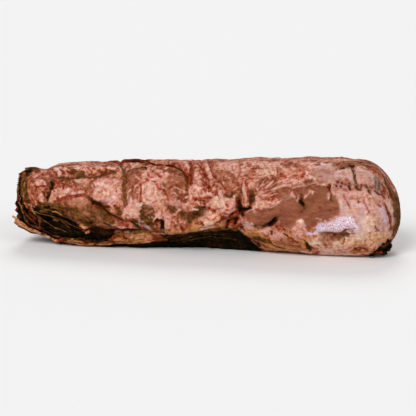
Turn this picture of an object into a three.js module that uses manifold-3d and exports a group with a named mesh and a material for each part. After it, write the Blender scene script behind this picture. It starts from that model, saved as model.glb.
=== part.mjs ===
// A whole raw beef tenderloin, about 430 mm long, with its thin tail tucked under its
// left end. It lies on one side, so the underside is flat where the meat has settled.
//
// Millimetres. X runs along the meat from the tail to the head, the viewer stands at -Y,
// and Z is up. The origin is on the resting surface, under the middle of the meat.
//
// Places on the skin are given as { along, around }: along is the distance in mm from the
// tail end, and around is the angle in degrees about the meat's own axis, where 0 faces the
// viewer, 90 is the top, -90 the underside and 180 the back.

import * as THREE from "three";
import { ImprovedNoise } from "three/addons/math/ImprovedNoise.js";
import { mergeVertices } from "three/addons/utils/BufferGeometryUtils.js";
import Module from "manifold-3d";

const LENGTH = 430;
const MEAN_RADIUS = 48;
const SECTION_SQUARENESS = 2.35; // 2 is an ellipse; a little more gives the slumped section

const TAIL_END = { length: 16, bluntness: 2.6, poleHeight: 50 };
const HEAD_END = { length: 42, bluntness: 2.05, poleHeight: 42 };

// The section at shares of the length. A bottom under 0 is pressed flat on the surface.
const STATIONS = [
  { at: 0.0, top: 79, bottom: 24, halfWidth: 35 },
  { at: 0.05, top: 82, bottom: 12, halfWidth: 38 },
  { at: 0.12, top: 88, bottom: 2, halfWidth: 42 },
  { at: 0.2, top: 92, bottom: -3, halfWidth: 44 },
  { at: 0.4, top: 95, bottom: -3, halfWidth: 45 },
  { at: 0.55, top: 98, bottom: -2, halfWidth: 46 },
  { at: 0.66, top: 101, bottom: -2, halfWidth: 48 },
  { at: 0.85, top: 104, bottom: -4, halfWidth: 50 },
  { at: 1.0, top: 98, bottom: -2, halfWidth: 47 },
];

// How finely the skin is cut into facets.
const RINGS = { tail: 8, body: 74, head: 11 };
const STEPS_AROUND = 48;
const FRONT_CROWDING = 20; // degrees by which the steps crowd towards the side that shows

const degrees = Math.PI / 180;
const { clamp, lerp } = THREE.MathUtils;

// Folds and grooves between muscle bundles. Each runs through its points; lip is how far the
// skin on the left of the path stands over the groove, and spread how soon that dies away.
const CREASES = [
  { name: "groove under the top strip", depth: 4.5, width: 6,
    path: [[20, 52], [40, 47], [58, 50], [80, 52], [100, 53], [124, 57]] },
  { name: "split in the tail", depth: 7, width: 5,
    path: [[44, 47], [48, 40], [45, 31], [42, 23], [44, 10]] },
  { name: "upper layer's edge, tail side", depth: 4, width: 4.5, lip: 3, spread: 9,
    path: [[42, 9], [55, 14], [68, 19], [82, 22], [91, 20]] },
  { name: "upper layer's edge, middle side", depth: 5, width: 5, lip: 3, spread: 9,
    path: [[89, 21], [100, 12], [110, 4], [120, -5], [130, -12], [140, -19]] },
  { name: "gap over the tucked tail", depth: 6, width: 5,
    path: [[76, -29], [92, -30], [108, -30], [124, -31], [142, -31], [160, -35]] },
  { name: "tie groove behind the tail", depth: 5.5, width: 5,
    path: [[114, 96], [118, 76], [124, 62], [128, 50], [128, 30], [130, 14], [133, 4]] },
  { name: "edge of the middle dome", depth: 5, width: 5, lip: 3, spread: 10,
    path: [[142, 84], [156, 75], [172, 71], [184, 67], [193, 59], [199, 49], [201, 38], [199, 22]] },
  { name: "first oblique groove", depth: 4, width: 5,
    path: [[196, 104], [200, 82], [208, 66], [216, 52], [223, 38]] },
  { name: "second oblique groove", depth: 4.5, width: 5,
    path: [[212, 104], [216, 82], [223, 64], [231, 48], [243, 33]] },
  { name: "pocket under the middle dome", depth: 5, width: 7,
    path: [[188, 3], [197, -5], [209, -6], [220, 2], [226, 10]] },
  { name: "small pocket beside it", depth: 5, width: 5.5,
    path: [[178, 7], [184, 0], [187, -8]] },
  { name: "cleft in the lower lobes", depth: 7, width: 5.5,
    path: [[166, -10], [170, -18], [174, -27], [170, -32]] },
  { name: "deep knot where the folds meet", depth: 10, width: 7,
    path: [[247, 18], [254, 10], [260, 3], [258, -6], [250, -17]] },
  { name: "slot beside the knot", depth: 8, width: 5,
    path: [[270, 31], [272, 20], [269, 9], [261, 3]] },
  { name: "slit under the shoulder roll", depth: 9, width: 5.5,
    path: [[281, -19], [290, -14], [298, -5], [307, 6], [314, 14]] },
  { name: "upper edge of the shoulder roll", depth: 3.5, width: 4.5, lip: 3, spread: 10,
    path: [[277, 3], [290, 7], [303, 13], [316, 25]] },
  { name: "long edge over the bare muscle", depth: 3.5, width: 4.5, lip: 3, spread: 10,
    path: [[298, 32], [318, 36], [334, 40], [352, 42]] },
  { name: "nick in the bare muscle", depth: 7, width: 5,
    path: [[321, 25], [326, 18], [330, 11]] },
  { name: "pucker line of the silverskin", depth: 4, width: 4.5, lip: 2.4, spread: 8,
    path: [[358, 38], [372, 37], [388, 35], [404, 35], [418, 31]] },
  { name: "dip between the head lumps", depth: 4.5, width: 5,
    path: [[374, 74], [379, 60], [381, 50], [383, 41]] },
  { name: "upright nick by the silverskin", depth: 4.5, width: 4.5,
    path: [[355, 39], [358, 28], [359, 19]] },
  { name: "hollow under the shiny bulge", depth: 4.5, width: 6,
    path: [[342, -22], [358, -22], [374, -19], [388, -18]] },
  { name: "fold at the rim of the head", depth: 4.5, width: 4.5,
    path: [[412, 24], [417, 6], [419, -12], [420, -32]] },
  { name: "seam of the lower rim", depth: 4, width: 5.5,
    path: [[268, -26], [286, -30], [304, -32], [320, -34], [334, -44]] },
  { name: "side strap's seam on the back", depth: 6, width: 9, lip: 2, spread: 14,
    path: [[40, 168], [90, 160], [150, 165], [220, 172], [290, 164], [350, 158], [400, 166]] },
  { name: "lower seam on the back", depth: 5, width: 9,
    path: [[60, 208], [120, 214], [180, 206], [250, 212], [320, 218], [380, 208]] },
  { name: "tie groove, round the back", depth: 4, width: 8,
    path: [[114, 96], [117, 120], [122, 145], [120, 170], [124, 200]] },
  { name: "oblique groove on the back", depth: 4, width: 8,
    path: [[208, 104], [214, 125], [226, 146], [232, 164]] },
  { name: "second groove on the back", depth: 3.5, width: 8,
    path: [[296, 112], [302, 134], [298, 158]] },
  { name: "dip behind the head", depth: 3, width: 4.5,
    path: [[374, 74], [376, 100], [370, 130], [374, 156]] },
];

// Swellings and hollows: at is the middle, size the reach along and around in mm, rise the height.
const LUMPS = [
  { name: "top strip's lumps at the tail", at: [58, 66], size: [16, 9], rise: 1.6 },
  { name: "top strip's lumps, second", at: [92, 66], size: [18, 10], rise: 1.8 },
  { name: "knob at the tail's upper corner", at: [6, 84], size: [9, 12], rise: 3 },
  { name: "brown muscle bulge", at: [88, -4], size: [30, 15], rise: 5 },
  { name: "hollow over the tucked tail", at: [50, -24], size: [24, 9], rise: -14 },
  { name: "pale lump by the tie groove", at: [140, -1], size: [9, 8], rise: 3.5 },
  { name: "middle dome", at: [165, 34], size: [34, 26], rise: 3 },
  { name: "lower lobe", at: [184, -20], size: [9, 9], rise: 4 },
  { name: "oblique ridge, upper", at: [240, 52], size: [16, 14], rise: 2 },
  { name: "recess under the belly", at: [224, -50], size: [44, 15], rise: -15 },
  { name: "pale tongue by the knot", at: [265, 22], size: [5, 12], rise: 3 },
  { name: "bare muscle", at: [340, 4], size: [36, 20], rise: 1.5 },
  { name: "shiny bulge", at: [366, -11], size: [22, 9], rise: 3.5 },
  { name: "head lump, tail side", at: [369, 52], size: [8, 8], rise: 2.5 },
  { name: "head lump, end side", at: [393, 51], size: [9, 9], rise: 2.5 },
  { name: "pale knob at the head's upper corner", at: [405, 74], size: [9, 9], rise: 4 },
  { name: "lower rim of the head", at: [352, -40], size: [44, 12], rise: 2 },
  { name: "back muscle, tail half", at: [130, 188], size: [70, 16], rise: 3 },
  { name: "back muscle, head half", at: [320, 186], size: [70, 18], rise: 3.5 },
];

// Thick rolled folds that stand proud of the skin.
const ROLLS = [
  { name: "fat fold across the belly", rise: 6, width: 8,
    path: [[184, -27], [202, -20], [222, -12], [240, -1], [250, 8]] },
  { name: "shoulder roll", rise: 5, width: 8,
    path: [[266, -14], [280, -6], [296, 6], [312, 18]] },
];

// The section's measure at a place, eased between the stations.
function section(along, key) {
  const at = clamp(along / LENGTH, 0, 1);
  const next = STATIONS.findIndex((station) => station.at >= at);
  const to = STATIONS[Math.max(next, 1)];
  const from = STATIONS[Math.max(next, 1) - 1];
  return lerp(from[key], to[key], THREE.MathUtils.smoothstep(at, from.at, to.at));
}

// How full the section is: 1 along the body, down to 0 at the pole of each end.
function fullness(along) {
  const shrink = (distance, end) => {
    const inwards = clamp(1 - distance / end.length, 0, 1);
    return (1 - inwards ** end.bluntness) ** (1 / end.bluntness);
  };
  return shrink(along, TAIL_END) * shrink(LENGTH - along, HEAD_END);
}

// Degrees from one angle to another, the short way round.
const turn = (from, to) => ((((to - from + 180) % 360) + 360) % 360) - 180;

// A path on the skin as points in flat mm, with the angle that it is measured from.
function flatten(path) {
  const middle = path[Math.floor(path.length / 2)][1];
  const flat = ([along, around]) =>
    new THREE.Vector3(along, turn(middle, around) * degrees * MEAN_RADIUS, 0);
  const curve = new THREE.CatmullRomCurve3(path.map(flat), false, "centripetal");
  return { middle, points: curve.getPoints(path.length * 5) };
}

for (const line of [...CREASES, ...ROLLS]) Object.assign(line, { flat: flatten(line.path) });

// The nearest place on a flattened path: how far off it is, on which side, and where along it.
function nearest(flat, along, around) {
  const x = along;
  const y = turn(flat.middle, around) * degrees * MEAN_RADIUS;
  let found = { distance: Infinity, side: 1, share: 0 };
  for (let i = 0; i + 1 < flat.points.length; i++) {
    const a = flat.points[i];
    const b = flat.points[i + 1];
    const ux = b.x - a.x;
    const uy = b.y - a.y;
    const t = clamp(((x - a.x) * ux + (y - a.y) * uy) / (ux * ux + uy * uy), 0, 1);
    const dx = x - a.x - t * ux;
    const dy = y - a.y - t * uy;
    const distance = Math.hypot(dx, dy);
    if (distance < found.distance)
      found = {
        distance,
        side: ux * dy - uy * dx >= 0 ? 1 : -1,
        share: (i + t) / (flat.points.length - 1),
      };
  }
  return found;
}

// A crease or roll fades out towards both of its ends.
const fade = (share) => Math.min(1, 5 * Math.min(share, 1 - share) + 0.25);

function creaseRelief(crease, along, around) {
  const { distance, side, share } = nearest(crease.flat, along, around);
  const groove = -crease.depth * Math.exp(-((distance / crease.width) ** 2));
  if (!crease.lip) return groove * fade(share);
  const raised = clamp(0.5 + (0.7 * side * distance) / crease.width, 0, 1);
  const lip = crease.lip * raised * Math.exp(-distance / crease.spread);
  return (groove + lip) * fade(share);
}

function rollRelief(roll, along, around) {
  const { distance, share } = nearest(roll.flat, along, around);
  return roll.rise * Math.exp(-((distance / roll.width) ** 2)) * fade(share);
}

function lumpRelief({ at, size, rise }, along, around) {
  const dx = (along - at[0]) / size[0];
  const dy = (turn(at[1], around) * degrees * MEAN_RADIUS) / size[1];
  return rise * Math.exp(-(dx * dx + dy * dy));
}

// The soft unevenness of raw meat: swellings of so many mm across and so many high.
const SWELLINGS = [
  { across: 27, rise: 1.6 },
  { across: 11, rise: 0.9 },
];
const noise = new ImprovedNoise();
const unevenness = (x, y, z) =>
  SWELLINGS.reduce(
    (sum, { across, rise }) => sum + rise * noise.noise(x / across, y / across, z / across),
    0,
  );

function relief(along, around) {
  let sum = 0;
  for (const crease of CREASES) sum += creaseRelief(crease, along, around);
  for (const roll of ROLLS) sum += rollRelief(roll, along, around);
  for (const lump of LUMPS) sum += lumpRelief(lump, along, around);
  return sum;
}

// The crease across the end where the meat turns under into its tail.
const END_FOLD = { height: 27, depth: 7, width: 5.5 };
const endFold = (z, full) =>
  -END_FOLD.depth * (1 - full) * Math.exp(-(((z - END_FOLD.height) / END_FOLD.width) ** 2));

// A point on the skin, lifted off it by lift mm: outwards along the body, and more and more
// lengthways over the ends. Nothing reaches under the resting surface.
function skinPoint(along, around, lift = 0, full = fullness(along)) {
  const top = section(along, "top");
  const bottom = section(along, "bottom");
  const halfWidth = section(along, "halfWidth");
  const halfHeight = (top - bottom) / 2;
  const c = Math.cos(around * degrees);
  const s = Math.sin(around * degrees);
  const power = SECTION_SQUARENESS;
  const plain =
    (Math.abs(c / halfWidth) ** power + Math.abs(s / halfHeight) ** power) ** (-1 / power);
  const isTail = along < LENGTH / 2;
  const pole = isTail ? TAIL_END.poleHeight : HEAD_END.poleHeight;
  const centre = lerp(pole, (top + bottom) / 2, full);
  const x = along - LENGTH / 2;
  const z = centre + plain * full * s;
  const rough = unevenness(x, -plain * full * c, z);
  const radius = (plain + relief(along, around) + rough) * full + lift;
  const outwards = rough + lift + (isTail ? endFold(z, full) : 0);
  const lengthways = Math.sqrt(1 - full ** 2) * (isTail ? -1 : 1);
  return new THREE.Vector3(
    x + lengthways * outwards,
    -radius * c,
    Math.max(centre + radius * s, 0),
  );
}

// The distance along and the fullness for a share v of the way over the skin, end to end.
function meridian(v) {
  const rings = RINGS.tail + RINGS.body + RINGS.head;
  const ring = v * rings;
  const over = (end, share) => ({
    inset: end.length * (1 - Math.cos((share * Math.PI) / 2) ** (2 / end.bluntness)),
    full: Math.sin((share * Math.PI) / 2) ** (2 / end.bluntness),
  });
  if (ring <= RINGS.tail) {
    const { inset, full } = over(TAIL_END, ring / RINGS.tail);
    return { along: inset, full };
  }
  if (ring >= rings - RINGS.head) {
    const { inset, full } = over(HEAD_END, (rings - ring) / RINGS.head);
    return { along: LENGTH - inset, full };
  }
  const share = (ring - RINGS.tail) / RINGS.body;
  return {
    along: lerp(TAIL_END.length, LENGTH - HEAD_END.length, share),
    full: 1,
  };
}

// Moves each vertex of a geometry to where place(vertex, index) puts it.
function reshape(geometry, place) {
  const position = geometry.getAttribute("position");
  const vertex = new THREE.Vector3();
  for (let i = 0; i < position.count; i++) {
    const { x, y, z } = place(vertex.fromBufferAttribute(position, i), i);
    position.setXYZ(i, x, y, z);
  }
  return geometry;
}

// The angle around for a share of the steps.
const angleAround = (share) => 360 * share - FRONT_CROWDING * Math.sin(2 * Math.PI * share);

// The main muscle: a sphere's rings and steps, laid over the meat's form.
function coreGeometry() {
  const rings = RINGS.tail + RINGS.body + RINGS.head;
  const sphere = new THREE.SphereGeometry(1, STEPS_AROUND, rings);
  return reshape(sphere, (vertex, i) => {
    const ring = Math.floor(i / (STEPS_AROUND + 1));
    const step = i % (STEPS_AROUND + 1) % STEPS_AROUND;
    const { along, full } = meridian(ring / rings);
    return skinPoint(along, angleAround(step / STEPS_AROUND), 0, full);
  });
}

// A thin sheet laid on the skin. at(u, v) gives its place and lift; u and v run from 0 to 1
// along and across it, and thickness(u, v) is what it has in the direction off the skin.
function sheetGeometry({ steps, at, thickness }) {
  const box = new THREE.BoxGeometry(1, 1, 1, steps[0], steps[1], 1);
  return reshape(box, ({ x, y, z }) => {
    const { along, around, lift, reach = 0 } = at(x + 0.5, y + 0.5);
    const over = lift + (z > 0 ? thickness(x + 0.5, y + 0.5) : 0);
    const point = skinPoint(along, around, over);
    point.x -= reach;
    return point;
  });
}

// A sine that runs through so many waves as u goes from 0 to 1.
const ripple = (u, waves, phase) => Math.sin(2 * Math.PI * waves * u + phase);

// The thin tail, folded under the left end and lying along the lower front edge. At the fold
// it is as wide as the meat, and from there on its far side lies hidden under the belly.
const TUCKED_TAIL = { reach: 178, thickness: 7, topEdge: -42, overhang: 8 };
const TUCKED_TAIL_FAR_SIDE = { atFold: -152, underBelly: -104 };
function tuckedTailGeometry() {
  const { reach, thickness, topEdge, overhang } = TUCKED_TAIL;
  const { atFold, underBelly } = TUCKED_TAIL_FAR_SIDE;
  return sheetGeometry({
    steps: [32, 7],
    at: (u, v) => {
      const farSide = lerp(atFold, underBelly, Math.min(1, 7 * u) ** 0.6);
      const ragged = 1.6 * ripple(u, 3.3, 0.4) + 1.2 * ripple(u, 7.1, 1.7);
      const sink = 12 * Math.max(0, 4 * u - 3) ** 2;
      const edge = lerp(-16, topEdge, Math.min(1, 5 * u) ** 0.7) + ragged - sink;
      const tip = (1 - Math.min(1, 9 * u)) ** 2;
      return {
        along: lerp(9, reach, u),
        around: lerp(farSide, edge, v),
        lift: -4 + 2.5 * v * (1 - u),
        reach: overhang * tip * (0.4 + 0.6 * v ** 2),
      };
    },
    thickness: (u, v) => lerp(thickness, 4.4, u) * (0.65 + 0.35 * v),
  });
}

// The dried rim of the membrane that wraps the tail end, curling in over it here and there.
const TAIL_RIM = { from: 176, to: -24, reach: 5.5, thickness: 2.8 };
function tailRimGeometry() {
  const { from, to, reach, thickness } = TAIL_RIM;
  return sheetGeometry({
    steps: [34, 3],
    at: (u, v) => {
      const edge = 1 - v;
      const tooth = 1.5 * ripple(u, 5.3, 0.6) + 1.2 * ripple(u, 9.4, 2.1);
      const curl = -3 + 2.2 * ripple(u, 4.1, 1.2);
      return {
        along: lerp(6, 14, v),
        around: lerp(from, to, u),
        lift: edge * (1.4 + curl * edge) - 2.6 * v,
        reach: edge * (reach + tooth) * Math.min(1, 9 * u, 9 * (1 - u)),
      };
    },
    thickness: () => thickness,
  });
}

// A dried ribbon of membrane lying along the upper front edge.
const TOP_RIBBON = { width: 7, thickness: 2.8 };
function topRibbonGeometry() {
  const { width, thickness } = TOP_RIBBON;
  const line = new THREE.CatmullRomCurve3(
    [[98, 100], [116, 96], [132, 91], [148, 83], [164, 76], [180, 71], [192, 63]].map(
      ([along, around]) => new THREE.Vector3(along, around, 0),
    ),
  );
  return sheetGeometry({
    steps: [20, 2],
    at: (u, v) => {
      const place = line.getPoint(u);
      const taper = Math.sin(Math.PI * clamp(u, 0.04, 0.96)) ** 0.5;
      const across = ((v - 0.5) * width * taper) / MEAN_RADIUS / degrees;
      return {
        along: place.x,
        around: place.y + across + 1.5 * ripple(u, 3, 0.5),
        lift: -1.4 + 1.2 * Math.sin(Math.PI * u),
      };
    },
    thickness: (u) => thickness * Math.sin(Math.PI * clamp(u, 0.08, 0.92)) ** 0.4 + 0.6,
  });
}

// A dark scrap of membrane hanging at the head's lower corner.
const HEAD_SCRAP = { along: [384, 411], around: [-36, -62], thickness: 4.5 };
function headScrapGeometry() {
  const { along, around, thickness } = HEAD_SCRAP;
  return sheetGeometry({
    steps: [7, 5],
    at: (u, v) => ({
      along: lerp(along[0], along[1], u) + 3 * ripple(v, 1.2, 0.3) * u,
      around: lerp(around[1], lerp(around[0], -50, 1 - u), v),
      lift: lerp(-2.6, 1.8, u) + 0.8 * ripple(u, 2.2, 1),
      reach: -5 * u * (1 - v),
    }),
    thickness: (u, v) => thickness * (0.5 + 0.5 * Math.sin(Math.PI * v)),
  });
}

// Joins everything into the one closed solid that the meat is. A hollow that a sheet seals
// over a groove is filled, by keeping the outermost shell alone.
async function fuse(geometries) {
  const wasm = await Module();
  wasm.setup();
  const solids = geometries.map((geometry) => {
    geometry.deleteAttribute("normal");
    geometry.deleteAttribute("uv");
    const merged = mergeVertices(geometry, 1e-3);
    return new wasm.Manifold(
      new wasm.Mesh({
        numProp: 3,
        vertProperties: merged.getAttribute("position").array,
        triVerts: new Uint32Array(merged.index.array),
      }),
    );
  });
  const joined = solids.reduce((whole, piece) => whole.add(piece));
  const shells = joined.decompose();
  const outer = shells.reduce((largest, shell) =>
    shell.volume() > largest.volume() ? shell : largest,
  );
  const { numVert, numProp, vertProperties, triVerts } = outer.getMesh();
  const points = new Float32Array(numVert * 3);
  for (let i = 0; i < numVert; i++)
    points.set(vertProperties.subarray(i * numProp, i * numProp + 3), i * 3);
  return new THREE.BufferGeometry()
    .setAttribute("position", new THREE.BufferAttribute(points, 3))
    .setIndex(new THREE.BufferAttribute(triVerts, 1));
}

const meat = new THREE.MeshStandardMaterial({ color: 0xa8675a, roughness: 0.5, metalness: 0 });

const tenderloin = new THREE.Mesh(
  await fuse([
    coreGeometry(),
    tuckedTailGeometry(),
    tailRimGeometry(),
    topRibbonGeometry(),
    headScrapGeometry(),
  ]),
  meat,
);
tenderloin.name = "tenderloin";

const group = new THREE.Group();
group.name = "beef_tenderloin";
group.add(tenderloin);

export default group;
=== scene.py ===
from math import cos, pi, radians, sin

import bmesh
import bpy
import numpy as np
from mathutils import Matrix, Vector, noise


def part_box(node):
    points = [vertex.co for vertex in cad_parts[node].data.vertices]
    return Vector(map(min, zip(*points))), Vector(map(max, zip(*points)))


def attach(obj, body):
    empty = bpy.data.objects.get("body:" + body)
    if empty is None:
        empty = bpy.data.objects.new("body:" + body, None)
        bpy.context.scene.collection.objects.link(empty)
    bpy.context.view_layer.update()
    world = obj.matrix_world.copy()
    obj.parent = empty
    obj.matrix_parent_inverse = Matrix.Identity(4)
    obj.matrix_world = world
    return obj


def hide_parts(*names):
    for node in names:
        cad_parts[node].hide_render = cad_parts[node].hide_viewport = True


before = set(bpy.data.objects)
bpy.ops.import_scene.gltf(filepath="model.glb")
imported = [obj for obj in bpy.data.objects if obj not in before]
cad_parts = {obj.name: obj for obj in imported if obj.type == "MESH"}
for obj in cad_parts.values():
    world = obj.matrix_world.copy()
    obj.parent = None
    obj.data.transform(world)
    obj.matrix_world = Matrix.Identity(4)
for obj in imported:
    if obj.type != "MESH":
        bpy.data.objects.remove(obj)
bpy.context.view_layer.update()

# The main muscle, a whole raw tenderloin: narrow at the tail, thick at the head, slumped a little
# on its flat underside, and covered with fat, silverskin and dried membrane. It is one skin that
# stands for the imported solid, and every other piece is laid on it.
MM = 0.001
low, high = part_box("tenderloin")
LENGTH = 2 * high.x / MM
HEIGHT = high.z / MM
HALF_WIDTH = (high.y - low.y) / 2 / MM
SQUARENESS = 2.35  # of the sections: 2 is an oval, and more is fuller at the corners
TAIL_END = {"length": 16, "bluntness": 2.6, "tip": 50}  # how far it rounds off, and how high it ends
HEAD_END = {"length": 42, "bluntness": 2.05, "tip": 42}
STATIONS = np.array([  # share of the length; top and bottom as shares of the height; half width
    (0.00, 0.757, 0.230, 0.658),
    (0.05, 0.786, 0.115, 0.714),
    (0.12, 0.844, 0.019, 0.790),
    (0.20, 0.882, -0.029, 0.827),
    (0.40, 0.911, -0.029, 0.846),
    (0.55, 0.940, -0.019, 0.865),
    (0.66, 0.968, -0.019, 0.902),
    (0.85, 0.997, -0.038, 0.940),
    (1.00, 0.940, -0.019, 0.883),
])

# A place on the skin is (along, around): mm from the tail end, and degrees about the meat's own
# axis, where 0 is the side that shows, 90 the top, -90 the underside and 180 the back.
MEAN_RADIUS = 48
ARC = radians(1) * MEAN_RADIUS  # mm round the skin for a degree


def smooth(share):
    share = np.clip(share, 0, 1)
    return share * share * (3 - 2 * share)


def section(along):
    """The section's top, bottom and half width in mm, eased between the stations."""
    at = np.clip(along / LENGTH, 0, 1)
    i = np.clip(np.searchsorted(STATIONS[:, 0], at) - 1, 0, len(STATIONS) - 2)
    step = smooth((at - STATIONS[i, 0]) / (STATIONS[i + 1, 0] - STATIONS[i, 0]))[:, None]
    shares = STATIONS[i, 1:] * (1 - step) + STATIONS[i + 1, 1:] * step
    return (shares * (HEIGHT, HEIGHT, HALF_WIDTH)).T


def fullness(along):
    """1 along the body, and down to 0 at the pole of each end."""
    full = 1
    for end, distance in ((TAIL_END, along), (HEAD_END, LENGTH - along)):
        inwards = np.clip(1 - distance / end["length"], 0, 1)
        full = full * (1 - inwards ** end["bluntness"]) ** (1 / end["bluntness"])
    return full


def unrolled(along, around):
    """Places on the skin, laid out flat in mm."""
    return np.stack([along, around * ARC, 0 * along], -1)


def round_from(angle, around):
    """How far round the skin places lie from an angle, in mm."""
    return ((around - angle + 180) % 360 - 180) * ARC


def swells(points, across, seed=0):
    """Soft noise from -1 to 1 at points in mm; across is the size of a swelling, or its three sizes."""
    scaled = points / across + (0, 0, 17.3 * seed)
    return np.array([noise.noise(Vector(p)) for p in scaled])


def wander(along, around, reach, across, seed=0):
    """The same places, shifted by up to about reach mm, so that no edge runs straight."""
    flat = unrolled(along, around)
    shift_along = reach * swells(flat, across, seed + 1)
    shift_around = reach * swells(flat, across, seed + 2) / ARC
    return along + shift_along, around + shift_around


def curve(path, steps=5):
    """A smooth line of points in flat mm through a path on the skin, and its middle angle."""
    points = np.array(path, float)
    middle = points[len(points) // 2, 1]
    points[:, 1] = (points[:, 1] - middle) * ARC
    if len(points) < 3:
        return middle, points
    ends = np.vstack([2 * points[0] - points[1], points, 2 * points[-1] - points[-2]])
    share = np.linspace(0, 1, steps, endpoint=False)[:, None]
    spans = [
        0.5 * (2 * b + (c - a) * share + (2 * a - 5 * b + 4 * c - d) * share**2
               + (3 * b - a - 3 * c + d) * share**3)
        for a, b, c, d in zip(ends, ends[1:], ends[2:], ends[3:])
    ]
    return middle, np.vstack([*spans, points[-1]])


def nearest(path, along, around, reach):
    """For the places within reach mm of a path: which they are, how far off, on which side, and
    at what share of the path's length."""
    middle, line = curve(path)
    x = along
    y = round_from(middle, around)
    near = np.flatnonzero(
        (x > line[:, 0].min() - reach) & (x < line[:, 0].max() + reach)
        & (y > line[:, 1].min() - reach) & (y < line[:, 1].max() + reach)
    )
    x, y = x[near], y[near]
    distance = np.full(len(near), np.inf)
    side = np.ones(len(near))
    share = np.zeros(len(near))
    for i, (a, b) in enumerate(zip(line, line[1:])):
        way = b - a
        t = np.clip(((x - a[0]) * way[0] + (y - a[1]) * way[1]) / (way @ way), 0, 1)
        dx, dy = x - a[0] - t * way[0], y - a[1] - t * way[1]
        here = np.hypot(dx, dy)
        closer = here < distance
        distance = np.where(closer, here, distance)
        side = np.where(closer, np.sign(way[0] * dy - way[1] * dx), side)
        share = np.where(closer, (i + t) / (len(line) - 1), share)
    return near, distance, side, share


def listed(table):
    """The strokes of a table. A row names a tissue or a region and gives its strokes in turn, each
    as its numbers and its path. Rows that start with # say where the rows below them lie."""
    strokes = []
    for row in table.splitlines():
        if not row or row.startswith("#"):
            continue
        name, rest = row.split(" ", 1)
        for stroke in rest.split(" | "):
            numbers = [float(word) for word in stroke.split() if "," not in word]
            path = [tuple(map(float, word.split(","))) for word in stroke.split() if "," in word]
            strokes.append((name, *numbers, path))
    return strokes


# Folds and grooves between the muscle bundles: the tissue that shows down the groove, which for the
# darker ones is partly painted shade, depth and half width in mm, how far the skin on the left of the
# path stands over the groove, and the path.
GROOVES = listed("""
olive 2.6 3 0 22,52 40,48 58,49 76,52 96,52 116,56
dark 5.5 1.6 0 46,49 47,42 47,35 45,28 44,20 42,11 | 3 1.2 0 35,28 37,21 40,13 42,9
rust 2.4 1.3 0 26,30 32,32 39,33
blood 2.2 1.6 3 50,10 57,13 66,18 78,21 88,23
dark 4 1.7 2.6 90,21 97,14 104,7 111,0 119,-7 128,-12 138,-15
dark 5 2.2 0 76,-29 92,-30 108,-31 124,-30 142,-29 160,-31
olive 4 2 0 112,110 115,92 120,78 124,68 127,58 | 1.8 3.4 0 127,58 129.5,44 129.5,30 130,18 132,8
rust 4 1.4 3 138,92 147,84 156,76 164,72 176,69 186,65 192,61 | 4 1.3 2.6 191,61 195,55 198,49 200,43 201,34
dark 2 1.2 0 143,66 147,69 152,72
rust 3 1.6 0 194,100 199,82 203,64 205,46 204,30 | 3.5 1.8 0 206,104 209,84 213,66 218,52 221,40
blood 4 1.8 0 216,104 219,84 223,68 227,55 232,45 237,38
rust 2 1 1.6 234,36 240,31 246,29
olive 4 5.5 0 192,2 200,-6 210,-6 219,1 222,8 | 2.4 3 0 178,6 182,3 186,3 | 3 4.5 0 151,6 157,0 161,-6
dark 6.5 2.2 0 165,-10 169,-14 172,-19 173.5,-25
rust 1.8 1.6 0 192,-16 195,-20 198,-24
dark 3 1.6 0 242,26 246,23 251,25 | 9 3 0 257,22 257,12 259,5 260,-4 | 8 2 0 270,8 265,5 260,3
olive 6 2.8 0 271,33 271.5,24 272,15 271,10
dark 5 1.6 0 257,-6 251,-9 245,-12 242,-18 | 10 2 1.5 281,-20 288,-16.5 294,-11 300,-3
lean 2.5 1.6 3.2 280,2 292,6 302,12 309,20 314,26 | 2.5 1.6 2.6 298,30 312,33 326,37 340,40 352,41
blood 1.5 0.9 0 279,19 288,19.5 297,21 | 1.2 0.8 0 279,27 284,34 289,42
dark 7 1.8 0 323,20 325,17 329,12 | 3.5 1.1 0 357,38 355.5,33 357,28
olive 4 1.3 0 378,68 379.5,60 381,52 382,46 384,41
dark 1.6 0.9 0 376,38 379,33 | 2 1 0 383,38.5 385,36 389,35.5 | 1.6 0.9 0 396,36 399,31.5
dark 1.6 0.9 0 404,37 408,33
olive 3 3.6 0 345,-23 358,-24 370,-25 | 1.2 1 0 371,-17 378,-15.5 386,-14
olive 1.5 1 0 377,-20 374.5,-25 372,-30
rust 4 1.1 2 411,31 415,20 418,8 420.5,-6 421,-24
blood 1.2 1 0 371,28 374,20 379,10 | 1.2 1 0 391,27 394,19 398,10
rust 2 1.8 0 262,-33 268,-42 278,-51 292,-57
dark 4 1.5 0 331,-36 333,-42 340,-47
rust 2.5 1.2 0 383,-43.5 390,-44 397,-46
tan 5.5 3.6 2 40,168 64,163 90,160 120,162 150,165
rust 5 2.8 2.4 150,165 172,168 196,171 220,172
tan 6 4.4 2 220,172 256,168 290,164 318,160 | 5 2.4 2 318,160 350,158 376,161 400,166
olive 5 3.2 0 60,208 90,212 120,214 150,210
tan 5 3.8 0 150,210 180,206 214,209 250,212
rust 4.5 2.4 1.6 250,212 284,216 320,218 350,214 380,208
dark 3 1.6 1 64,152 76,144 90,139 104,140
blood 2.6 1.5 0 138,126 148,137 160,147 176,154
rust 3.2 1.6 1.6 240,118 252,130 264,142 272,156 | 2.6 1.5 1 330,116 340,130 350,142 366,150
dark 2.6 1.5 0 160,178 174,184 188,194
rust 2.8 1.6 1.2 296,176 312,184 322,198
olive 2.4 1.4 0 86,184 100,190 108,202 | 3 2.6 0 112,110 116,128 115,146 121,164 130,180
rust 3.5 4 0 200,104 208,125 222,146 232,164 | 3.5 4 0 296,112 302,134 298,158
olive 0.8 3 0 374,80 376,104 370,130 374,156
""")

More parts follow.
